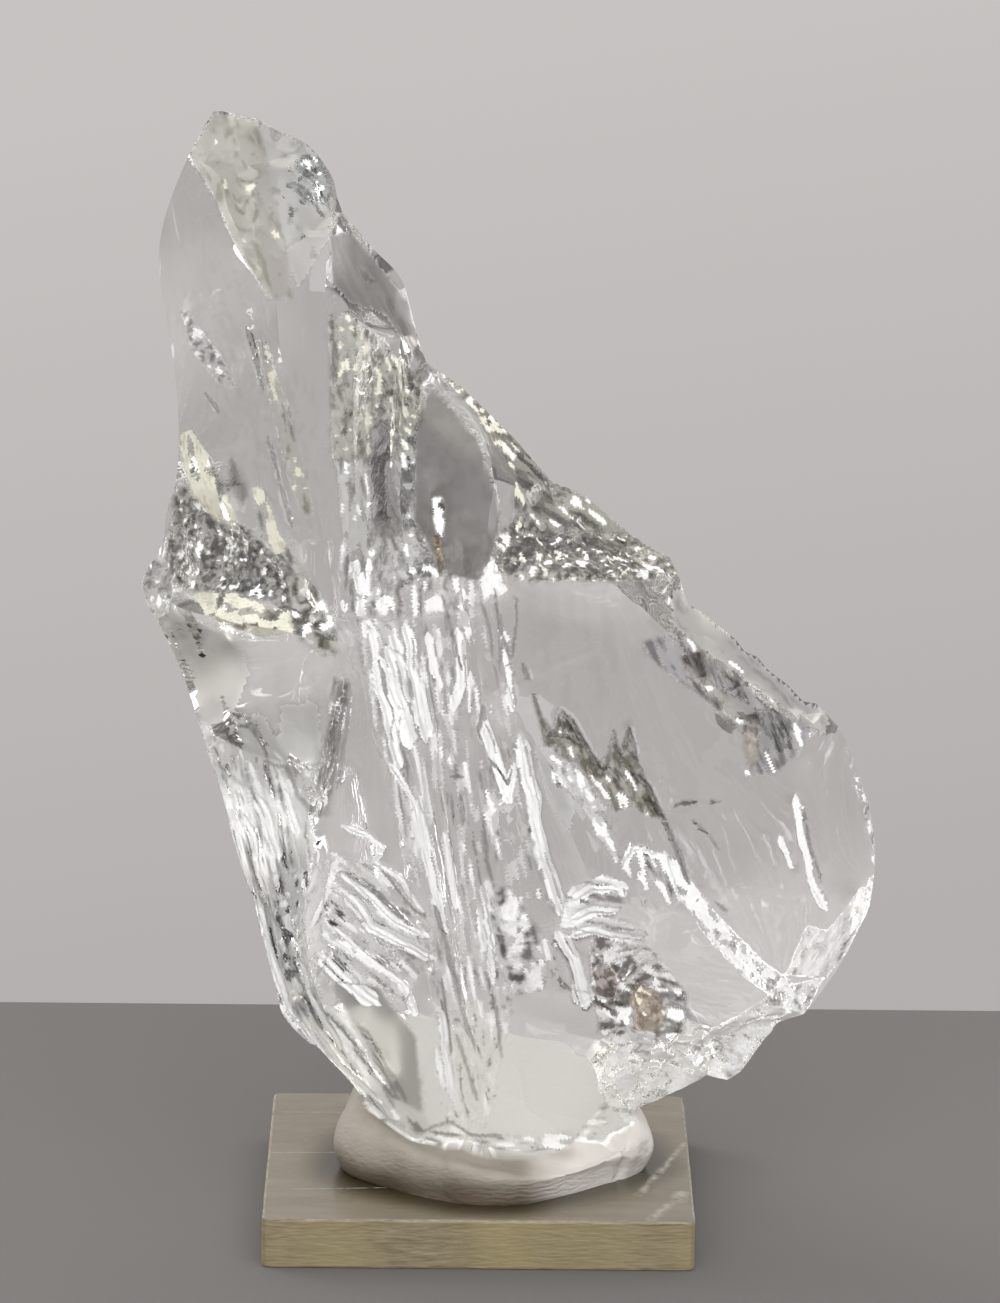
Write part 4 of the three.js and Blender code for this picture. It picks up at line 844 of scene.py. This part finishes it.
def store(obj, name, values, kind="FLOAT", field="value"):
    """Stores a value per point of a piece, for its material to read."""
    layer = obj.data.attributes.new(name, kind, "POINT")
    layer.data.foreach_set(field, values.ravel())


def linked(name, data):
    """A new object in the scene."""
    obj = bpy.data.objects.new(name, data)
    bpy.context.scene.collection.objects.link(obj)
    return obj


def mesh_object(name, co, tris):
    mesh = bpy.data.meshes.new(name)
    mesh.from_pydata((co * MM).tolist(), [], tris.tolist())
    mesh.update()
    return linked(name, mesh)


def shade(obj, creases):
    """Smooth shading that breaks at the creases."""
    mesh = obj.data
    mesh.polygons.foreach_set("use_smooth", np.ones(len(mesh.polygons), bool))
    edges = np.empty(2 * len(mesh.edges), int)
    mesh.edges.foreach_get("vertices", edges)
    layer = mesh.attributes.new("sharp_edge", "BOOLEAN", "EDGE")
    layer.data.foreach_set("value", is_crease(np.sort(edges.reshape(-1, 2), axis=1), creases))
    mesh.update()


def make_crystal(node):
    """The glass shard, sculpted over its solid."""
    co, tris = mesh_arrays(node)
    creases = find_creases(co, tris, CREASE_ANGLE)
    co, tris, creases = split_evenly(co, tris, creases, 0.0, 1)
    co = smooth(co, tris, creases, SMOOTH_ROUNDS)
    co = calm(co, tris)
    for _ in range(SPLIT_ROUNDS):
        size = wanted_size(co, vertex_normals(co, tris))
        co, tris, creases = split_edges(co, tris, creases, size)
        co = smooth(co, tris, creases, FINE_ROUNDS)
    co, marks = sculpt(co, tris)
    obj = mesh_object("crystal_glass", co, tris)
    opaque = np.ones(len(co))
    # the tint carries the painted shade of the dark marks and darkened zones
    store(obj, "tint", np.column_stack([marks["tint"], opaque]), "FLOAT_COLOR", "color")
    store(obj, "flow", marks["flow"], "FLOAT_VECTOR", "vector")
    store(obj, "grain", marks["grain"])
    obj.data.polygons.foreach_set("material_index", material_slots(tris, marks))
    shade(obj, find_creases(co, tris, SHARP_ANGLE))
    return obj


# ---------------------------------------------------------------- the putty's mesh

FOOT_ANGLE = math.radians(30)  # the rim of the putty's foot turns more sharply than this
FOOT_DEPTH = 0.01
PUTTY_EDGE = 0.6
PUTTY_ROUNDS = 16
# How the roll along its front swells: at x, how far forward and how far up
ROLL_SWELL = [(-18, -0.5, 0.0), (-11, -1.4, 0.0), (-7, -0.1, 0.1), (-3, 1.4, 0.4), (0.5, 2.3, 0.6),
              (4, 2.5, 0.8), (6, 2.2, 1.0), (8, 1.4, 1.1), (11.4, -0.1, 1.2), (15, -1.8, 0.8),
              (20, -1.8, 0.0)]
ROLL_BACK = -2.0               # y behind which nothing swells
ROLL_FRONT = -10.0             # y in front of which it swells in full
ROLL_LIFT = 1.5                # how far above the plate it is lifted in full
# The roll's height before the glass: at x, the least and the most
ROLL_HEIGHT = [(-9, 1.5, 14), (-3, 2.2, 6), (4, 2.4, 2.8), (8, 2.4, 2.7), (11, 2.8, 3.2), (14, 3.6, 4.0),
               (16.5, 4.2, 4.8), (19, 4.0, 7)]
ROLL_ROUND = 5.5               # from its foot to where it is level
ROLL_LIP = -6.8                # the roll lies in front of this
PLATE_TOP = 6.0
PUTTY_LUMPS = [(7.0, 0.3), (2.2, 0.07)]
LUMP_SEED = 40
# Folds and cracks pressed into it: width, depth and the path of (x, y) places, seen from above
PUTTY_FOLDS = [
    (1.3, 0.5, [(14.5, -7), (16.4, -9.4), (17.8, -10.6), (19.4, -9.4), (20.6, -6.5)]),
    (0.5, 0.2, [(-4, -19), (-4.1, -14), (-3.9, -10)]),
    (0.6, 0.14, [(15.2, -3.5), (17, -5.6), (19.5, -6.6)]),
    (0.6, 0.14, [(15, -5.2), (17, -7), (19.6, -7.6)]),
    (0.6, 0.12, [(14.8, -1.6), (17, -3.6), (19.8, -4.6)]),
    (0.9, 0.07, [(5, -19), (9, -16), (13, -12.5)]),
    (0.6, 0.06, [(-14, -13.5), (-9, -16.8), (-3, -18.6)]),
]
STAIN_AND_SHADE_HIGH = 4.6               # how far up the putty is stained and painted with shade
GRUBBY_END = 4.0               # left of here it is grubby
CLEAN_END = 12.0               # right of here it is clean
BLOTCH = 3.5                   # size of the blotches at the edge of the soil
STAIN_AND_SHADE_BLOTCH = 1.6             # how far they reach past it
GRUBBY_BLOTCH = 2.5
STAIN_AND_SHADE_SEED = 45
GRUBBY_SEED = 46
PRINT = (5.0, -15.5)           # where a finger pressed it
PRINT_WIDE = (2.6, 9.1)        # how far its ridges are full, and where they end
PUTTY_GAP = 0.6                # putty closer to the glass than this touches it
PUTTY_PRESS = 0.08 * MM        # how deep it then lies in the glass
SOCKET_PAINTED_LIGHT = (0.24, 0.64)    # painted light this close to the glass, and outer putty past that
FOLD_WIDE = (0.15, 0.65)       # how far a fold is full, and where it ends, in its widths


def make_putty(node, glass):
    """The lump of putty: round and full in front, and pressed against the glass."""
    co, tris = mesh_arrays(node)
    creases = find_creases(co, tris, FOOT_ANGLE)
    creases = creases[(co[creases, 2] < PLATE_TOP + FOOT_DEPTH).all(1)]
    co, tris, creases = split_evenly(co, tris, creases, PUTTY_EDGE, SPLIT_ROUNDS)
    foot = co[:, 2] < PLATE_TOP + FOOT_DEPTH
    tree = surface_tree(glass)
    socket = distances(tree, co) < PUTTY_GAP
    co[:, 2] = np.where(foot, co[:, 2], roll_height(co, co[np.unique(creases)]))
    # what the smoothing takes off is added again, so that the lump keeps its size
    soft = smooth(co, tris, creases, PUTTY_ROUNDS)
    co = swell(2 * soft - smooth(soft, tris, creases, PUTTY_ROUNDS))
    co = co + vertex_normals(co, tris) * putty_relief(co)[:, None]
    co[foot, 2] = PLATE_TOP
    co = np.array([press(tree, Vector(p) * MM, held) for p, held in zip(co, socket)]) / MM
    co[:, 2] = np.maximum(co[:, 2], PLATE_TOP)
    obj = mesh_object("putty_lump", co, tris)
    mark_putty(obj, co, tree)
    shade(obj, creases)
    return obj


def roll_height(co, rim):
    """Heights that make the roll before the glass round and full."""
    inward = np.array([np.hypot(*(rim[:, :2] - place[:2]).T).min() for place in co])
    arch = np.sqrt(1 - (1 - np.clip(inward / ROLL_ROUND, 0, 1)) ** 2)
    x, least, most = np.array(ROLL_HEIGHT).T
    least = PLATE_TOP + arch * np.interp(co[:, 0], x, least)
    most = PLATE_TOP + np.interp(co[:, 0], x, most)
    roll = (co[:, 1] < ROLL_LIP) & (co[:, 0] > x[0])
    return np.where(roll, np.clip(co[:, 2], least, np.maximum(least, most)), co[:, 2])


def swell(co):
    """Fills out the roll along the putty's front."""
    x, forward, up = np.array(ROLL_SWELL).T
    share = fades(co[:, 1], ROLL_FRONT, ROLL_BACK)
    lean = np.interp(co[:, 0], x, forward)
    lift = np.interp(co[:, 0], x, up) * ease((co[:, 2] - PLATE_TOP) / ROLL_LIFT)
    return co + np.stack([0 * lean, -lean * share, lift * share], axis=1)


def putty_relief(co):
    """How far the putty's lumps stand out and its folds run in."""
    out = sum(depth * noise(co / size, LUMP_SEED) for size, depth in PUTTY_LUMPS)
    for width, depth, path in PUTTY_FOLDS:
        aside, _, _ = along_path(path, co[:, 0], co[:, 1])
        out -= depth * fades(np.abs(aside) / width, *FOLD_WIDE)
    return out


def surface_tree(obj):
    return BVHTree.FromObject(obj, bpy.context.evaluated_depsgraph_get())


def distances(tree, co):
    """How far each place is from a surface."""
    return np.array([tree.find_nearest(Vector(p) * MM)[3] for p in co]) / MM


def press(tree, point, held):
    """Brings a point of the socket's wall, or one just inside the glass, into touch with the glass."""
    near, normal, _, away = tree.find_nearest(point)
    if held or (away < PUTTY_GAP * MM and (point - near).dot(normal) < 0):
        return near - normal * PUTTY_PRESS
    return point


def mark_putty(obj, co, glass):
    """Where the putty has painted light against the glass, is soiled, has a stain with painted shade low
    down, or was touched by a finger.
    """
    right = co[:, 0] - GRUBBY_BLOTCH * noise(co / BLOTCH, GRUBBY_SEED)
    high = co[:, 2] - STAIN_AND_SHADE_BLOTCH * noise(co / BLOTCH, STAIN_AND_SHADE_SEED)
    grubby = fades(right, GRUBBY_END, CLEAN_END)
    # painted light on the putty that lies against the glass
    store(obj, "socket", fades(distances(glass, co), *SOCKET_PAINTED_LIGHT))
    store(obj, "grubby", grubby)
    # a stain with painted shade, low on the soiled part
    store(obj, "stain_and_shade", grubby * fades(high, PLATE_TOP, PLATE_TOP + STAIN_AND_SHADE_HIGH))
    store(obj, "touch", fades(np.hypot(*(co[:, :2] - PRINT).T), *PRINT_WIDE))


# ---------------------------------------------------------------- the plate's mesh

PLATE_EDGE = 1.3
PAINTED_SHADOW_WIDE = (1.0, 6.0)                 # painted shadow: the plate is darkened this close to the putty, and not past that
PLATE_SAW = [(0.5, 0.03), (2.5, 0.05)]  # width and depth of the saw marks on its sides
SAW_REACH = 8                           # how many times longer than wide they are
SAW_SEED = 47
LEVEL = 0.8                             # faces whose normal rises more than this are the top
TOP_SLOT = 0
SIDE_SLOT = 1


def make_plate(node, putty):
    """The acrylic plate, with a polished top and saw-marked sides."""
    co, tris = mesh_arrays(node)
    creases = find_creases(co, tris, CREASE_ANGLE)
    co, tris, creases = split_evenly(co, tris, creases, PLATE_EDGE, SPLIT_ROUNDS + 1)
    normals = vertex_normals(co, tris)
    beside = 1 - np.abs(normals[:, 2])
    saw = sum(depth * (noise(co / (SAW_REACH * size, SAW_REACH * size, size), SAW_SEED) - 1)
              for size, depth in PLATE_SAW)
    co = co + normals * (beside * saw)[:, None]
    obj = mesh_object("acrylic_plate", co, tris)
    flat = unit(face_normals(co, tris))[:, 2] > LEVEL
    obj.data.polygons.foreach_set("material_index", np.where(flat, TOP_SLOT, SIDE_SLOT))
    # painted shadow on the plate round the putty
    store(obj, "painted_shadow", fades(distances(surface_tree(putty), co), *PAINTED_SHADOW_WIDE))
    shade(obj, creases)
    return obj


# ---------------------------------------------------------------- shader nodes

def wire(tree, node, inputs):
    """Sets inputs of a node to numbers or colours, or joins them to other nodes' outputs."""
    for key, value in inputs.items():
        socket = node.inputs[key]
        if isinstance(value, bpy.types.NodeSocket):
            tree.links.new(value, socket)
        else:
            socket.default_value = (*value, 1) if socket.type == "RGBA" else value


def add_node(tree, kind, inputs, **settings):
    node = tree.nodes.new("ShaderNode" + kind)
    for name, value in settings.items():
        setattr(node, name, value)
    wire(tree, node, inputs)
    return node


def new_material(name):
    material = bpy.data.materials.new(name)
    material.use_nodes = True
    tree = material.node_tree
    return material, tree, tree.nodes["Principled BSDF"]


def absorb(tree, colour, density):
    """Tints the light by how far it goes inside the piece."""
    volume = add_node(tree, "VolumeAbsorption", {"Color": colour, "Density": density})
    wire(tree, tree.nodes["Material Output"], {"Volume": volume.outputs["Volume"]})


def attribute(tree, name, output="Fac"):
    return add_node(tree, "Attribute", {}, attribute_name=name).outputs[output]


def noise_value(tree, place, scale, detail=2.0):
    """Noise at a place, as a number about 0.5."""
    return add_node(tree, "TexNoise", {"Vector": place, "Scale": scale, "Detail": detail}).outputs["Fac"]


def object_place(tree, stretch=(1, 1, 1)):
    """The place on the piece, stretched along its axes."""
    place = add_node(tree, "TexCoord", {}).outputs["Object"]
    return add_node(tree, "Mapping", {"Vector": place, "Scale": stretch}).outputs["Vector"]


def between(tree, value, low, high, kind="LINEAR"):
    """The value's place between two limits, held to 0 and 1."""
    inputs = {"Value": value, "From Min": low, "From Max": high}
    return add_node(tree, "MapRange", inputs, interpolation_type=kind).outputs["Result"]


def blend(tree, share, first, second):
    """A mix of two colours, each given as numbers or as another node's output."""
    inputs = {"Factor": share, "A": first, "B": second}
    return add_node(tree, "Mix", inputs, data_type="RGBA").outputs["Result"]


def bump(tree, height, deep, **inputs):
    """A normal for a rough surface, with a Strength or another Normal under it where one is given."""
    node = add_node(tree, "Bump", {"Height": height, "Distance": deep * MM, **inputs})
    return node.outputs["Normal"]


def vector_math(tree, operation, *inputs):
    node = add_node(tree, "VectorMath", dict(enumerate(inputs)), operation=operation)
    return node.outputs["Value" if operation in ("DOT_PRODUCT", "LENGTH") else "Vector"]


def number_math(tree, operation, *inputs):
    return add_node(tree, "Math", dict(enumerate(inputs)), operation=operation).outputs[0]


# ---------------------------------------------------------------- materials

# Where there are two colours, the piece is mottled or streaked between them. A depth is the
# colour that light takes on inside the piece
# The bruises on the glass, painted white and cream as highlights
WHITE_COLOURS = (1.0, 1.0, 0.99), (0.88, 0.88, 0.87)
CREAM_COLOURS = (0.84, 0.81, 0.68), (0.60, 0.57, 0.44)
PUTTY_BRIGHT = (0.63, 0.59, 0.55), (0.69, 0.65, 0.61)
PUTTY_DULL = (0.275, 0.243, 0.20), (0.325, 0.292, 0.248)
# painted light for the putty that lies against the glass
PUTTY_PAINTED_LIGHT = (0.96, 0.95, 0.92)
# a brown stain with painted shade, low on the putty
PUTTY_STAIN_AND_SHADE = (0.155, 0.115, 0.078)
PUTTY_SPECK = (0.22, 0.16, 0.13)
ACRYLIC_IOR = 1.49
ACRYLIC_DENSITY = 25.0
TOP_COLOURS = (0.25, 0.21, 0.148), (0.315, 0.27, 0.195)
TOP_DEPTH = (0.78, 0.72, 0.45)
# painted shadow on the plate's top round the putty
TOP_PAINTED_SHADOW = (0.06, 0.046, 0.022)
# scratches, and painted highlights along the top's edges
TOP_SCRATCH_AND_HIGHLIGHT = (0.66, 0.63, 0.52)
SIDE_COLOURS = (0.255, 0.205, 0.115), (0.45, 0.38, 0.24)
SIDE_DEPTH = (0.78, 0.70, 0.40)
SIDE_WARM = (0.50, 0.40, 0.19)
# painted highlight along the sides' top edges
SIDE_EDGE_HIGHLIGHT = (0.72, 0.66, 0.42)
# Painted highlights on the four top edges, then scratches on the plate's top: both ends (x, y) and the width
SCRATCHES_AND_EDGE_HIGHLIGHTS = [
    ((-25.3, -25.3), (25.3, -25.3), 0.26), ((-25.3, -25.3), (-25.3, 25.3), 0.3),
    ((25.3, -25.3), (25.3, 25.3), 0.3), ((-25.3, 25.3), (25.3, 25.3), 0.26),
    ((-26, 17.0), (-15, 17.2), 0.14), ((-26, 0.3), (-14, 0.9), 0.16), ((-26, -14.3), (-16.6, -13.5), 0.12),
    ((-17, -13.6), (-11.0, -13.0), 0.26), ((24.8, 5.5), (21.8, -5.7), 0.6), ((22.6, -3), (18.9, -14.9), 0.8),
    ((24.1, -14), (23.4, -17.2), 1.3), ((23.5, -16), (20.2, -24.2), 0.9), ((24.8, 18), (15, 19), 0.1),
]


def glass_material(name, clear, rough):
    """Glass with a pale tint that carries painted shade, uneven where it is broken."""
    material, tree, shader = new_material(name)
    fine = noise_value(tree, attribute(tree, "flow", "Vector"), 2.6)
    wire(tree, shader, {
        "Base Color": attribute(tree, "tint", "Color"),
        "Normal": bump(tree, fine, 0.16, Strength=attribute(tree, "grain")),
        "Transmission Weight": clear, "Roughness": rough, "IOR": GLASS_IOR})
    absorb(tree, GLASS_COLOUR, GLASS_DENSITY)
    return material


def bruise_and_highlight_material(name, pale, deep, clear):
    """Glass crushed to a fine powder in streaks, painted white or cream as highlight, that still lets
    some light through.
    """
    material, tree, shader = new_material(name)
    streaks = noise_value(tree, attribute(tree, "flow", "Vector"), 2.2)
    wire(tree, shader, {
        "Base Color": blend(tree, between(tree, streaks, 0.52, 0.70), pale, deep),
        "Normal": bump(tree, streaks, 0.12),
        "Transmission Weight": clear, "Roughness": 0.35, "IOR": GLASS_IOR})
    absorb(tree, GLASS_COLOUR, GLASS_DENSITY)
    return material


def putty_material():
    """Soft cream putty: mineral grains, a finger's ridges, soiled and painted with shade where it meets
    the plate, and painted light where it lies against the glass.
    """
    material, tree, shader = new_material("mineral_putty")
    place = object_place(tree)
    mottle = between(tree, noise_value(tree, place, 160), 0.35, 0.65)
    bright = blend(tree, mottle, *PUTTY_BRIGHT)
    dull = blend(tree, mottle, *PUTTY_DULL)
    outer = blend(tree, attribute(tree, "grubby"), bright, dull)
    # painted light where the putty lies against the glass
    socket_lit = blend(tree, attribute(tree, "socket"), outer, PUTTY_PAINTED_LIGHT)
    # a stain with painted shade low down, on the soiled part
    stained_and_shaded = blend(tree, attribute(tree, "stain_and_shade"), socket_lit, PUTTY_STAIN_AND_SHADE)
    grains = add_node(tree, "TexVoronoi", {"Vector": place, "Scale": 110})
    speck = between(tree, grains.outputs["Distance"], 0.045, 0.03)
    ridges = add_node(tree, "TexWave", {"Vector": place, "Scale": 520, "Distortion": 6.0, "Detail": 1.0},
                      bands_direction="Z")
    touched = bump(tree, ridges.outputs["Fac"], 0.04, Strength=attribute(tree, "touch"))
    rough = noise_value(tree, object_place(tree, (1, 1, 2.5)), 900, 4)
    wire(tree, shader, {
        "Base Color": blend(tree, speck, stained_and_shaded, PUTTY_SPECK),
        "Normal": bump(tree, rough, 0.14, Normal=touched),
        "Roughness": 0.55, "Specular IOR Level": 0.35})
    return material


def scratch_and_highlight_share(tree):
    """1 on the plate top's scratches and the painted highlights along its edges, 0 beside them, and patchy.
    """
    place = add_node(tree, "TexCoord", {}).outputs["Object"]
    total = None
    for (x0, y0), (x1, y1), width in SCRATCHES_AND_EDGE_HIGHLIGHTS:
        start = Vector((x0, y0, PLATE_TOP)) * MM
        way = Vector((x1 - x0, y1 - y0, 0)) * MM
        here = vector_math(tree, "SUBTRACT", place, start)
        part = number_math(tree, "DIVIDE", vector_math(tree, "DOT_PRODUCT", here, way), way.length_squared)
        inputs = {0: way, "Scale": between(tree, part, 0, 1)}
        point = add_node(tree, "VectorMath", inputs, operation="SCALE").outputs["Vector"]
        away = vector_math(tree, "LENGTH", vector_math(tree, "SUBTRACT", here, point))
        line = between(tree, away, width * MM, 0)
        total = line if total is None else number_math(tree, "MAXIMUM", total, line)
    patchy = between(tree, noise_value(tree, object_place(tree, (1.6, 1, 1)), 520, 4), 0.34, 0.7)
    return number_math(tree, "MULTIPLY", total, patchy)


def plate_top_material():
    """Yellowed acrylic, polished once, now scratched and dull."""
    material, tree, shader = new_material("acrylic_top")
    haze = between(tree, noise_value(tree, object_place(tree, (1, 3, 1)), 90, 4), 0.35, 0.7)
    # painted shadow round the putty
    colour = blend(tree, attribute(tree, "painted_shadow"), blend(tree, haze, *TOP_COLOURS), TOP_PAINTED_SHADOW)
    wire(tree, shader, {
        # scratches, and painted highlights along the top edges
        "Base Color": blend(tree, scratch_and_highlight_share(tree), colour, TOP_SCRATCH_AND_HIGHLIGHT),
        "Normal": bump(tree, noise_value(tree, object_place(tree, (1, 6, 1)), 260, 3), 0.02),
        "Transmission Weight": 0.35, "Roughness": 0.22, "IOR": ACRYLIC_IOR})
    absorb(tree, TOP_DEPTH, ACRYLIC_DENSITY)
    return material


def plate_side_material():
    """The sawn sides: matte olive yellow, streaked along their length."""
    material, tree, shader = new_material("acrylic_side")
    streaks = between(tree, noise_value(tree, object_place(tree, (1, 1, 9)), 420, 5), 0.30, 0.75)
    warm = between(tree, noise_value(tree, object_place(tree, (1, 1, 0.5)), 40, 2), 0.42, 0.72)
    sides = blend(tree, warm, blend(tree, streaks, *SIDE_COLOURS), SIDE_WARM)
    rough = noise_value(tree, object_place(tree, (1, 1, 5)), 600, 4)
    wire(tree, shader, {
        # painted highlights along the top edges
        "Base Color": blend(tree, scratch_and_highlight_share(tree), sides, SIDE_EDGE_HIGHLIGHT),
        "Normal": bump(tree, rough, 0.08),
        "Transmission Weight": 0.3, "Roughness": 0.5, "IOR": ACRYLIC_IOR})
    absorb(tree, SIDE_DEPTH, ACRYLIC_DENSITY)
    return material


# ---------------------------------------------------------------- stage

def make_camera():
    data = bpy.data.cameras.new("camera")
    data.lens = CAMERA_LENS_MM
    data.clip_start = 0.01
    camera = linked("camera", data)
    turn = Matrix.Rotation(CAMERA_TURN, 4, "Z")
    pitch = Matrix.Rotation(math.radians(90) - CAMERA_PITCH, 4, "X")
    roll = Matrix.Rotation(CAMERA_ROLL, 4, "Z")
    camera.matrix_world = Matrix.Translation(CAMERA_PLACE) @ turn @ pitch @ roll
    bpy.context.scene.camera = camera


def make_table():
    """A grey table, larger than any view, with its back edge a little way behind the object."""
    rows = [(-TABLE_REACH, 0.0), (TABLE_BACK, 0.0), (TABLE_BACK, -TABLE_THICK)]
    co = [(x, y, z) for (y, z) in rows for x in (-TABLE_REACH, TABLE_REACH)]
    mesh = bpy.data.meshes.new("table")
    mesh.from_pydata(co, [], [(0, 1, 3, 2), (2, 3, 5, 4)])
    material, tree, shader = new_material("table_top")
    wire(tree, shader, {"Base Color": TABLE_COLOUR, "Roughness": 0.9})
    mesh.materials.append(material)
    obj = linked("table", mesh)


def make_wall():
    """The far wall and the dim room, as the world's own colour: grey behind, dark at the front."""
    world = bpy.data.worlds.new("room")
    bpy.context.scene.world = world
    world.use_nodes = True
    tree = world.node_tree
    way = add_node(tree, "TexCoord", {}).outputs["Generated"]
    height = between(tree, vector_math(tree, "DOT_PRODUCT", way, (-WALL_TILT, 0, 1)), -1, 1)
    ramp = add_node(tree, "ValToRGB", {"Fac": height})
    stops = ramp.color_ramp.elements
    # a new ramp has two stops
    for _ in WALL_GREYS[2:]:
        stops.new(0.5)
    for stop, (degrees, grey) in zip(stops, WALL_GREYS):
        stop.position = 0.5 + 0.5 * math.sin(math.radians(degrees))
        stop.color = (*(grey * tint for tint in WALL_TINT), 1)
    depth = add_node(tree, "SeparateXYZ", {0: way}).outputs["Y"]
    begin, end = (math.cos(math.radians(degrees)) for degrees in WALL_WIDE)
    ahead = between(tree, depth, end, begin, "SMOOTHSTEP")
    colour = blend(tree, ahead, ROOM_COLOUR, ramp.outputs["Color"])
    wire(tree, tree.nodes["Background"], {"Color": colour})


def light_panel(name, place, turn, size, power):
    """A rectangular light out of the camera's direct sight."""
    data = bpy.data.lights.new(name, "AREA")
    data.shape = "RECTANGLE"
    data.size, data.size_y = size
    data.energy = power
    obj = linked(name, data)
    obj.location = place
    obj.rotation_euler = turn
    obj.visible_camera = False


def area_light(name, azimuth, elevation, size, power):
    """A softbox turned to the object, seen from it in a direction given in degrees."""
    turn = math.radians(azimuth)
    rise = math.radians(elevation)
    way = Vector((math.sin(turn) * math.cos(rise), math.cos(turn) * math.cos(rise), math.sin(rise)))
    light_panel(name, LIGHT_AIM + LIGHT_AWAY * way, way.to_track_quat("Z", "Y").to_euler(), size, power)


def low_panel(name, corner, far_corner):
    """A panel that lies on the table and shines up, between two corners (x, y)."""
    size = [b - a for a, b in zip(corner, far_corner)]
    place = (*((a + b) / 2 for a, b in zip(corner, far_corner)), PANEL_HEIGHT)
    light_panel(name, place, (math.pi, 0, 0), size, PANEL_GLOW * math.pi * size[0] * size[1])


def make_lights():
    for name, light in SOFTBOXES.items():
        area_light(name, *light)
    for name, corners in LOW_PANELS.items():
        low_panel(name, *corners)


def set_light_paths():
    """Light crosses many facets in the glass before it leaves."""
    cycles = bpy.context.scene.cycles
    cycles.max_bounces = 32
    cycles.glossy_bounces = 24
    cycles.transmission_bounces = 32


# ---------------------------------------------------------------- assembly

def stand_in(obj, materials, node):
    """Puts a finished piece in the place of a CAD node."""
    for material in materials:
        obj.data.materials.append(material)
    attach(obj, "root")
    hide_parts(node)


def main():
    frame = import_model()
    make_camera()
    make_table()
    make_wall()
    make_lights()
    set_light_paths()
    bpy.context.scene.view_settings.view_transform = "Standard"
    nodes = frame["nodes"]
    glass = make_crystal(nodes["crystal"])
    clear = glass_material("clear_glass", clear=1.0, rough=0.0)
    frost = glass_material("frosted_glass", clear=0.72, rough=0.42)
    # bruised glass painted white and cream as highlights
    white = bruise_and_highlight_material("white_bruise_highlight", *WHITE_COLOURS, clear=0.12)
    cream = bruise_and_highlight_material("cream_bruise_highlight", *CREAM_COLOURS, clear=0.2)
    stand_in(glass, [clear, white, cream, frost], "crystal")
    putty = make_putty(nodes["putty"], glass)
    stand_in(putty, [putty_material()], "putty")
    plate = make_plate(nodes["base"], putty)
    stand_in(plate, [plate_top_material(), plate_side_material()], "base")


main()
